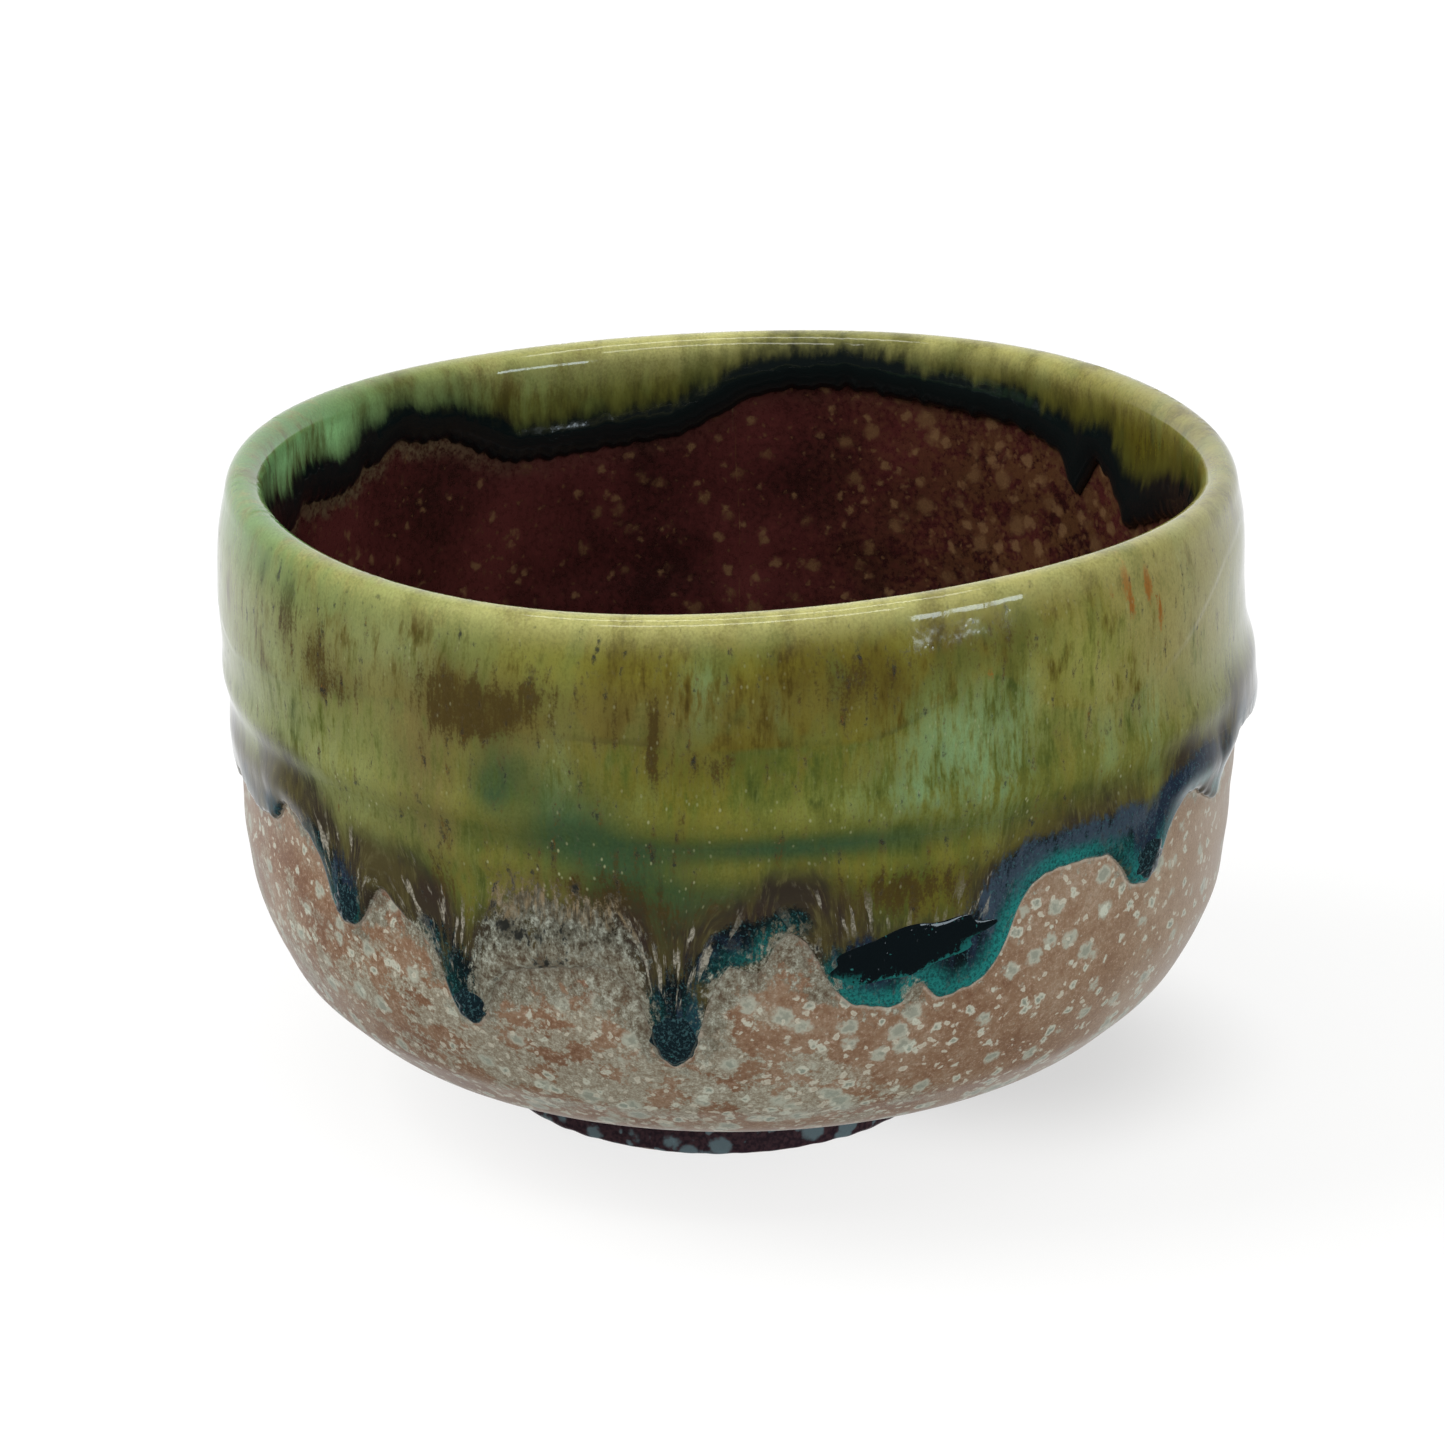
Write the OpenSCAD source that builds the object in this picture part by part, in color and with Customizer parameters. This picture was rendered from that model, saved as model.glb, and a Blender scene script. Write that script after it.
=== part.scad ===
// Matcha bowl: a thrown stoneware bowl with a foot ring, a speckled base glaze inside and out, and a
// green glaze band over the lip whose lower edge has run and pooled.
// Every glaze coat is laid on the same section line, so each coat meets the one under it face to face.

/* [Bowl] */
// Height from the floor to the top of the glazed lip
bowl_height = 77.7; // [66:0.1:90]
// Widest diameter over the glaze
bowl_diameter = 121.2; // [104:0.2:140]
// Thickness of the glazed lip
lip_thickness = 5.0; // [4.4:0.1:6]

/* [Foot] */
// Height of the foot ring
foot_height = 6.5; // [5:0.1:9]
// Outer diameter of the foot ring
foot_diameter = 55.2; // [48:0.2:60]
// Width of the clay in the foot ring
foot_ring_width = 6.0; // [5:0.1:8]
// Radius of the foot ring's bottom edges
foot_edge_radius = 1.2; // [0.6:0.1:2]

/* [Glaze] */
// Thickness of the speckled base glaze
base_coat = 0.4; // [0.3:0.05:0.6]
// Thickness of the green glaze over the base glaze
top_coat = 0.6; // [0.4:0.05:0.9]
// Extra thickness where the glaze has pooled
pool_coat = 0.5; // [0.3:0.05:0.8]
// Thickness of the dark wash on the foot ring
foot_coat = 0.3; // [0.2:0.05:0.5]

/* [Section] */
// Points worked out between two stations of the section
station_steps = 6; // [3:1:8]
// Roundness of every revolved surface
revolve_facets = 128; // [64:16:200]

/* [Hidden] */

glaze_total = base_coat + top_coat;
clay_radius = bowl_diameter / 2 - glaze_total;
foot_radius = foot_diameter / 2;
lip_radius = lip_thickness / 2 - glaze_total;
lip_height = bowl_height - lip_thickness / 2;
wall_height = lip_height - foot_height;
lip_points = 12;

// Stations of the clay's outside, from the foot ring up to the lip. The first number is a fraction of
// clay_radius and the second a fraction of wall_height above the foot ring.
outer_stations = [[0.46, 0], [0.60, 0.03], [0.72, 0.07], [0.82, 0.12], [0.90, 0.195], [0.955, 0.29],
                  [0.98, 0.40], [0.99, 0.57], [1.00, 0.72], [0.995, 0.87], [0.987, 1]];
// Stations of the clay's inside, from the lip down to the middle of the floor, in the same fractions.
inner_stations = [[0, 1], [0.94, 0.87], [0.94, 0.66], [0.926, 0.49], [0.88, 0.33], [0.79, 0.205],
                  [0.64, 0.12], [0.40, 0.085], [0, 0.075]];
// Station of the outside below the place where the green band's even part ends and the runs begin
band_outer_station = 7;

// Runs below the green band: angle from the front, width, and height of the tip as a fraction of
// bowl_height. The runs lie beside each other and don't overlap.
runs = [[-172, 12, 0.51], [-156, 16, 0.45], [-139, 14, 0.53], [-124, 9, 0.37], [-109, 16, 0.52],
        [-94, 9, 0.44], [-80, 14, 0.55], [-66, 8, 0.55], [-57.5, 8, 0.58], [-48.5, 9.5, 0.46],
        [-39, 8.5, 0.49], [-30, 7.5, 0.36], [-17.5, 13.5, 0.47], [-7, 7.5, 0.33], [3, 8.5, 0.49],
        [19, 19, 0.42], [37, 14, 0.58], [49.5, 8, 0.50], [58.7, 8.5, 0.61], [67, 7, 0.57],
        [79, 13, 0.645], [100, 14, 0.54], [116, 9, 0.38], [131, 16, 0.53], [147, 10, 0.41],
        [164, 16, 0.54]];
// Largest corner radius of a run's tip
run_corner = 4;
// Pools on the runs: angle from the front, width, height of the pool, and height of its middle as a
// fraction of bowl_height.
pools = [[-124, 5.5, 4.5, 0.42], [-94, 5.5, 4.5, 0.485], [-48.5, 6, 5, 0.51], [-30, 5, 4.5, 0.41],
         [-7, 5.5, 5, 0.38], [18.5, 16, 5, 0.505], [49.5, 5, 4, 0.545], [116, 5.5, 4.5, 0.43],
         [147, 6, 5, 0.46]];

function last(list) = list[len(list) - 1];

// Point between b and c on the smooth curve through a, b, c and d
function curve_point(a, b, c, d, t) =
    0.5 * (2 * b + (c - a) * t + (2 * a - 5 * b + 4 * c - d) * t * t
           + (3 * b - a - 3 * c + d) * t * t * t);

// Smooth curve through the stations, with station_steps points from each one to the next
function curve(stations, before, after) =
    let (p = concat([before], stations, [after]))
    [for (i = [1 : len(stations) - 1], k = [0 : station_steps - 1])
        curve_point(p[i - 1], p[i], p[i + 1], p[i + 2], k / station_steps)];

function station_place(s) = [s[0] * clay_radius, foot_height + s[1] * wall_height];

outer_places = [for (i = [0 : len(outer_stations) - 1])
    i == 0 ? [foot_radius, foot_height] : station_place(outer_stations[i])];
lip_centre = last(outer_places) - [lip_radius, 0];
inner_places = [for (i = [0 : len(inner_stations) - 1])
    i == 0 ? lip_centre - [lip_radius, 0] : station_place(inner_stations[i])];

outer_line = curve(outer_places, 2 * outer_places[0] - outer_places[1],
                   last(outer_places) + [0, wall_height / 8]);
lip_line = [for (i = [0 : lip_points - 1])
    lip_centre + lip_radius * [cos(180 * i / lip_points), sin(180 * i / lip_points)]];
inner_line = curve(inner_places, inner_places[0] + [0, wall_height / 8],
                   [-inner_places[len(inner_places) - 2][0], inner_places[len(inner_places) - 2][1]]);
// The clay's whole section line: up the outside, over the lip and down to the middle of the floor
section = concat(outer_line, lip_line, inner_line, [last(inner_places)]);

// Outside, the band ends two thirds of the way from that station to the next one up.
band_start = band_outer_station * station_steps + floor(station_steps * 2 / 3);
lip_start = len(outer_line);
lip_top = lip_start + lip_points / 2;
inner_start = lip_start + lip_points;
// Inside, the green band ends half-way to the first station under the lip and its pooled edge fills
// the other half.
band_end = inner_start + floor(station_steps / 2);
pool_end = inner_start + station_steps;
section_end = len(section) - 1;

// Direction out of the clay at a point of the section
function out_of_clay(i) =
    i == 0 ? [0, -1]
    : i == section_end ? [0, 1]
    : let (along = section[i + 1] - section[i - 1]) [along[1], -along[0]] / norm(along);

function coat_point(i, depth) = section[i] + depth * out_of_clay(i);

// Solid of revolution between two depths over the clay, from one point of the section to another
module coat(from, to, depth, thickness) {
    rotate_extrude($fn = revolve_facets)
        polygon(concat([for (i = [from : to]) coat_point(i, depth)],
                       [for (i = [to : -1 : from]) coat_point(i, depth + thickness)]));
}

// Bar from the axis outwards, at an angle from the front, with the outline of its children
module outward_bar(angle) {
    rotate([0, 0, angle])
        rotate([90, 0, 0])
            linear_extrude(bowl_diameter)
                children();
}

// Flat bar with a round end on each side
module round_bar(width, height, middle) {
    reach = (width - height) / 2;
    translate([-reach, middle])
        circle(d = height, $fn = 48);
    translate([reach, middle])
        circle(d = height, $fn = 48);
    translate([-reach, middle - height / 2])
        square([2 * reach, height]);
}

// Outline of one run, from its rounded tip up past the edge of the band
module tongue(width, tip) {
    corner = min(run_corner, width / 2 - 0.1);
    round_bar(width, 2 * corner, tip + corner);
    translate([-width / 2, tip + corner])
        square([width, section[band_start][1] + 2 - tip - corner]);
}

// Number of section points below a height on the outside
function points_below(z) = len([for (i = [0 : band_start]) if (section[i][1] < z) i]);

module clay_body() {
    color("#a98b72")
        rotate_extrude($fn = revolve_facets)
            polygon(concat(section, [[0, foot_height]]));
}

module foot_ring() {
    inner = foot_radius - foot_ring_width;
    turn = [for (a = [0 : 15 : 90]) foot_edge_radius * [sin(a), 1 - cos(a)]];
    color("#5a3a30")
        rotate_extrude($fn = revolve_facets)
            polygon(concat([[inner, foot_height]],
                           [for (i = [6 : -1 : 0]) [inner + foot_edge_radius - turn[i][0], turn[i][1]]],
                           [for (i = [0 : 6]) [foot_radius - foot_edge_radius + turn[i][0], turn[i][1]]],
                           [[foot_radius, foot_height]]));
}

module foot_glaze() {
    color("#3a1a20")
        rotate_extrude($fn = revolve_facets)
            polygon([[foot_radius, foot_edge_radius],
                     [foot_radius + foot_coat, foot_edge_radius + foot_coat],
                     [foot_radius + foot_coat, foot_height - base_coat],
                     [foot_radius, foot_height - base_coat]]);
}

module outer_base_glaze() {
    color("#9a7763")
        coat(0, lip_top, 0, base_coat);
}

module inner_base_glaze() {
    color("#33140f")
        coat(lip_top, section_end, 0, base_coat);
}

module green_glaze_band() {
    color("#7d8f3e")
        coat(band_start, band_end, base_coat, top_coat);
}

module glaze_runs() {
    color("#4f6b3a")
        for (r = runs) {
            tip = r[2] * bowl_height;
            intersection() {
                coat(max(0, points_below(tip) - 2), band_start, base_coat, top_coat);
                outward_bar(r[0])
                    tongue(r[1], tip);
            }
        }
}

module glaze_run_pools() {
    color("#0e3a3c")
        for (p = pools) {
            middle = p[3] * bowl_height;
            low = points_below(middle - p[2]);
            intersection() {
                coat(max(0, low - 2), band_start, glaze_total, pool_coat);
                outward_bar(p[0])
                    round_bar(p[1], p[2], middle);
            }
        }
}

module inner_glaze_pool() {
    color("#101a18")
        coat(band_end, pool_end, base_coat, top_coat + pool_coat);
}

clay_body();
foot_ring();
foot_glaze();
outer_base_glaze();
inner_base_glaze();
green_glaze_band();
glaze_runs();
glaze_run_pools();
inner_glaze_pool();
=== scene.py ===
import math

import bpy
import numpy as np
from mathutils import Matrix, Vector


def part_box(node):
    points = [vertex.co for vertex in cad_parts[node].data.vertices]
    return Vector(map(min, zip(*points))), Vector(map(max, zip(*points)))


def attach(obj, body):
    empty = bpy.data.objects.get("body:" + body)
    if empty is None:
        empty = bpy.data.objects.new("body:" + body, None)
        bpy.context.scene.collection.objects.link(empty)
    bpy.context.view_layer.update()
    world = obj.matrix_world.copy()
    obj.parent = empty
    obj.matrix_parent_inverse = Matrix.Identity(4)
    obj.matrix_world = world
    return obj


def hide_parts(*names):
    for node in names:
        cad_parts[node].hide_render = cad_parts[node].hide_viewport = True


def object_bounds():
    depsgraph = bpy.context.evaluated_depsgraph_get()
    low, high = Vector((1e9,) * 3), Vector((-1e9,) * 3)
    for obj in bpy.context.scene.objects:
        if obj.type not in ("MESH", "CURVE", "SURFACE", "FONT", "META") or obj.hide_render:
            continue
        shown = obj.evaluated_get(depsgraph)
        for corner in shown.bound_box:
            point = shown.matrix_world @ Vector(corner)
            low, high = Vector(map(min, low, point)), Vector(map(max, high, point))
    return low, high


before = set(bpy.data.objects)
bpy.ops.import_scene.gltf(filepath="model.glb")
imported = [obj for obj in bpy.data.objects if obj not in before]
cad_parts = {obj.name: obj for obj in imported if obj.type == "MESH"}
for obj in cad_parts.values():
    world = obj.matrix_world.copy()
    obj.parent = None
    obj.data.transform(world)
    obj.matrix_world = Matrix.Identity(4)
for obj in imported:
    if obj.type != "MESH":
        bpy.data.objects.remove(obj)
CAD_LOW, CAD_HIGH = [list(corner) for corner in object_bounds()]

# Lengths are in millimetres unless a name says otherwise. Angles go round the bowl in degrees, from the
# front (-Y) towards +X. Everything lies on one section line of the clay, which runs up the outside,
# over the lip and down the inside, and a place on the bowl is (angle, distance along that line, depth
# over the clay).
MM = 0.001
SEED = 7


def box_mm(node):
    low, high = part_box(node)
    return np.array(low) / MM, np.array(high) / MM


# ---------------------------------------------------------------- sizes, from the frame
FOOT_RADIUS = float(box_mm("foot_ring")[1][0])
FOOT_HEIGHT = float(box_mm("foot_ring")[1][2])
CLAY_RADIUS = float(box_mm("clay_body")[1][0])
CLAY_TOP = float(box_mm("clay_body")[1][2])
BASE_COAT = FOOT_HEIGHT - float(box_mm("outer_base_glaze")[0][2])
TOP_COAT = CAD_HIGH[2] / MM - float(box_mm("outer_base_glaze")[1][2])
WASH = float(box_mm("foot_glaze")[1][0]) - FOOT_RADIUS
FOOT_RING_WIDTH = 6.0
FOOT_EDGE = 1.2
LIP_RADIUS = 1.5
LIP_HEIGHT = CLAY_TOP - LIP_RADIUS
WALL_HEIGHT = LIP_HEIGHT - FOOT_HEIGHT
# Radius at which widths round the bowl are measured
GIRTH = CLAY_RADIUS + BASE_COAT

# Stations of the clay, as fractions of its radius and of the wall's height over the foot ring
OUTER_STATIONS = [(0.60, 0.03), (0.72, 0.07), (0.82, 0.12), (0.90, 0.195), (0.955, 0.29), (0.98, 0.40),
                  (0.99, 0.57), (1.00, 0.72), (0.995, 0.87), (0.987, 1.0)]
INNER_STATIONS = [(0.94, 0.87), (0.94, 0.66), (0.926, 0.49), (0.88, 0.33), (0.79, 0.205), (0.64, 0.12),
                  (0.40, 0.085), (0.0, 0.075)]

# ---------------------------------------------------------------- the hand's marks
# The lip rises and falls round the bowl: (waves round the bowl, sine part, cosine part)
LIP_WAVES = [(0, 0, 0.35), (1, 1.0, 0.0), (2, 0.15, -0.3), (3, 0.55, 0.12), (4, 0.05, -0.1)]
# The foot ring was cut off the wall's centre, and the wall leans a little: height and sideways shift
LEAN = [(0, -1.6), (6.5, -1.6), (10, -0.4), (18, 0.25), (36, 0.6), (52, 0.65), (61, 0.1), (80, 0)]
# Swellings of the wall: angle, height, half width, half height, amount
BULGES = [(88, 52.5, 26, 5.6, 1.15), (80, 24, 30, 12, 0.35), (-88, 68, 25, 7, 0.2)]
# Throwing ridges outside: height, how far they stand out, half width, angle where they are highest
RIDGES = [(68.5, 0.10, 3.0, 40), (62.5, 0.10, 2.6, 200), (55.4, 0.36, 2.1, 0), (49.0, 0.30, 1.9, 30),
          (43.0, 0.14, 2.2, 120), (36.5, 0.12, 2.4, -40), (29.0, 0.12, 2.4, 90), (20.0, 0.22, 1.8, -60),
          (13.5, 0.14, 1.5, 30)]
RIDGE_CLIMB = 0.9
# The same inside
INNER_RIDGES = [(60, 0.18, 2.8, 0), (51, 0.20, 3.0, 90), (42, 0.20, 3.0, 180), (33, 0.18, 3.0, -90),
                (25, 0.15, 2.5, 0)]

# ---------------------------------------------------------------- where the glazes end
# Lower edge of the green glaze outside: angle and height. Steep pairs are the sides of the drips.
OUTER_EDGE = [
    (-180, 44), (-176.5, 41), (-172, 39.4), (-168, 41.5), (-164, 44.5), (-161.5, 42), (-159.8, 37.2),
    (-157, 35), (-154, 35.6), (-151.5, 38.8), (-149, 43.8), (-145.5, 45.8), (-142, 42.8), (-139, 41.4),
    (-135, 42.6), (-131, 44.4), (-128.8, 41), (-127.6, 34.5), (-126.3, 30), (-124, 28.6), (-121.6, 30.4),
    (-120.6, 35.5), (-119, 41.2), (-115, 43.2), (-109, 40.6), (-104, 42.2), (-100.5, 44.4), (-98.6, 41),
    (-97.2, 36.8), (-94.6, 34.8), (-92, 35.8), (-89.5, 37.6), (-87, 38.6), (-83, 42), (-79, 43.5),
    (-75, 44), (-70, 43), (-66, 42.5), (-63.5, 43.2), (-61.5, 43), (-60, 44.6), (-58, 46.8), (-54, 44.5),
    (-52.5, 43.5), (-51, 41.5), (-50.2, 39.5), (-49.5, 37.3), (-48.2, 35.9), (-46.3, 35.3), (-44.9, 36.1),
    (-43.7, 37.8), (-42.3, 40.5), (-41.2, 41.8), (-38.6, 39.5), (-36, 37.7), (-34.1, 36.4), (-33.2, 34),
    (-32.5, 31.5), (-31.6, 28.9), (-29.5, 27.7), (-27.6, 29.4), (-26.9, 33), (-24.5, 35.8), (-20, 36.8),
    (-16, 37.4), (-13.8, 37.8), (-11.5, 36.2), (-9.8, 33.2), (-9, 30), (-8.3, 27.3), (-6.6, 25.3),
    (-4.7, 26.8), (-3.7, 30.2), (-3, 34), (-1.6, 37.4), (-0.6, 38.4), (0.8, 38), (2, 37.2), (3, 38.5),
    (4.2, 41), (5.3, 42.3), (6.8, 41.6), (8.2, 39.5), (9.2, 37), (10.5, 34.8), (12.5, 33.2), (15.5, 32.5),
    (17.9, 32.6), (18.8, 34.4), (19.7, 35.4), (20.6, 34.2), (21.6, 32.8), (24, 33), (27.3, 34.4),
    (29.3, 37.2), (30.3, 39.5), (31, 42), (33, 44.5), (36, 45.1), (39.2, 45.1), (43, 44.8), (45, 43.5),
    (46.5, 41.2), (48.2, 39.7), (50.4, 39.1), (52, 40.2), (53.2, 42.5), (54.7, 45.2), (57.5, 47.5),
    (60, 47.1), (62.5, 45.8), (64, 44.8), (66.3, 43.8), (67.8, 45.5), (68.9, 48.8), (71, 50.6), (76, 50.3),
    (84, 48.5), (90, 47), (96, 43.6), (100, 42.2), (104, 43.2), (108, 45.6), (111, 44), (112.4, 37.6),
    (113.8, 31.6), (116, 29.4), (118.2, 31.6), (119.6, 38), (121.5, 43.6), (125, 43), (130, 41.4),
    (135, 42.4), (139, 45), (142, 42.6), (143.6, 36.6), (145.2, 32.8), (147.2, 31.8), (149.4, 33.4),
    (150.8, 38.6), (152.6, 44), (156, 46), (160, 43.6), (164, 42.2), (169, 42.8), (174, 45.4)]
# Lower edge of the dark pooled line inside: angle and height
INNER_EDGE = [
    (-176, 65.8), (-173, 64.4), (-165, 63.6), (-156, 62.9), (-150, 63), (-146.5, 63.8), (-144.5, 65.2),
    (-141.5, 66.6), (-139, 68), (-134, 68.2), (-130.5, 69.4), (-128.5, 68.4), (-126, 67), (-122.8, 67.2),
    (-121, 65.2), (-117, 65), (-111, 65.8), (-107.5, 66.5), (-105.5, 64.8), (-103, 64), (-95, 66),
    (-84, 68.5), (-74, 66), (-66, 63), (-58, 64.5), (-46, 68), (-35, 66.5), (-26, 62.5), (-16, 64),
    (-6, 67.5), (6, 68.5), (16, 65), (27, 63), (38, 65.5), (50, 68.8), (62, 67), (72, 63.5), (84, 65),
    (96, 67), (106, 64.5), (113, 61.5), (117.5, 59.8), (119.2, 62.6), (121.5, 64.8), (123.8, 66.6),
    (125.6, 64.4), (127.4, 61.2), (129.6, 62.6), (131, 65.8), (135, 67), (140, 68), (145, 68.3),
    (150, 68.7), (157, 69.5), (164, 70.5), (172, 70.3), (177, 69.4)]
# Height of the line where the second dip of green glaze ends
DIP_LINE = [
    (-170, 66), (-150, 63), (-130, 66), (-110, 68), (-90, 64), (-70, 61), (-50, 63), (-36, 66), (-30, 63),
    (-24, 64.5), (-16, 64.4), (-9, 64.2), (-3, 63.2), (3, 63.5), (9, 63.4), (14, 63.2), (17, 64),
    (20, 65.5), (23, 66.6), (26, 68.4), (29, 68), (33, 64), (38, 62.2), (43, 61.6), (47, 61.8), (51, 62.8),
    (55, 64.4), (59, 66.5), (63, 69), (68, 71.5), (78, 73), (92, 70), (110, 65), (130, 63), (150, 67),
    (165, 69)]
# Height where the even part of the green glaze ends and the runs begin
RUN_TOP = float(box_mm("green_glaze_band")[0][2])

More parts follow.
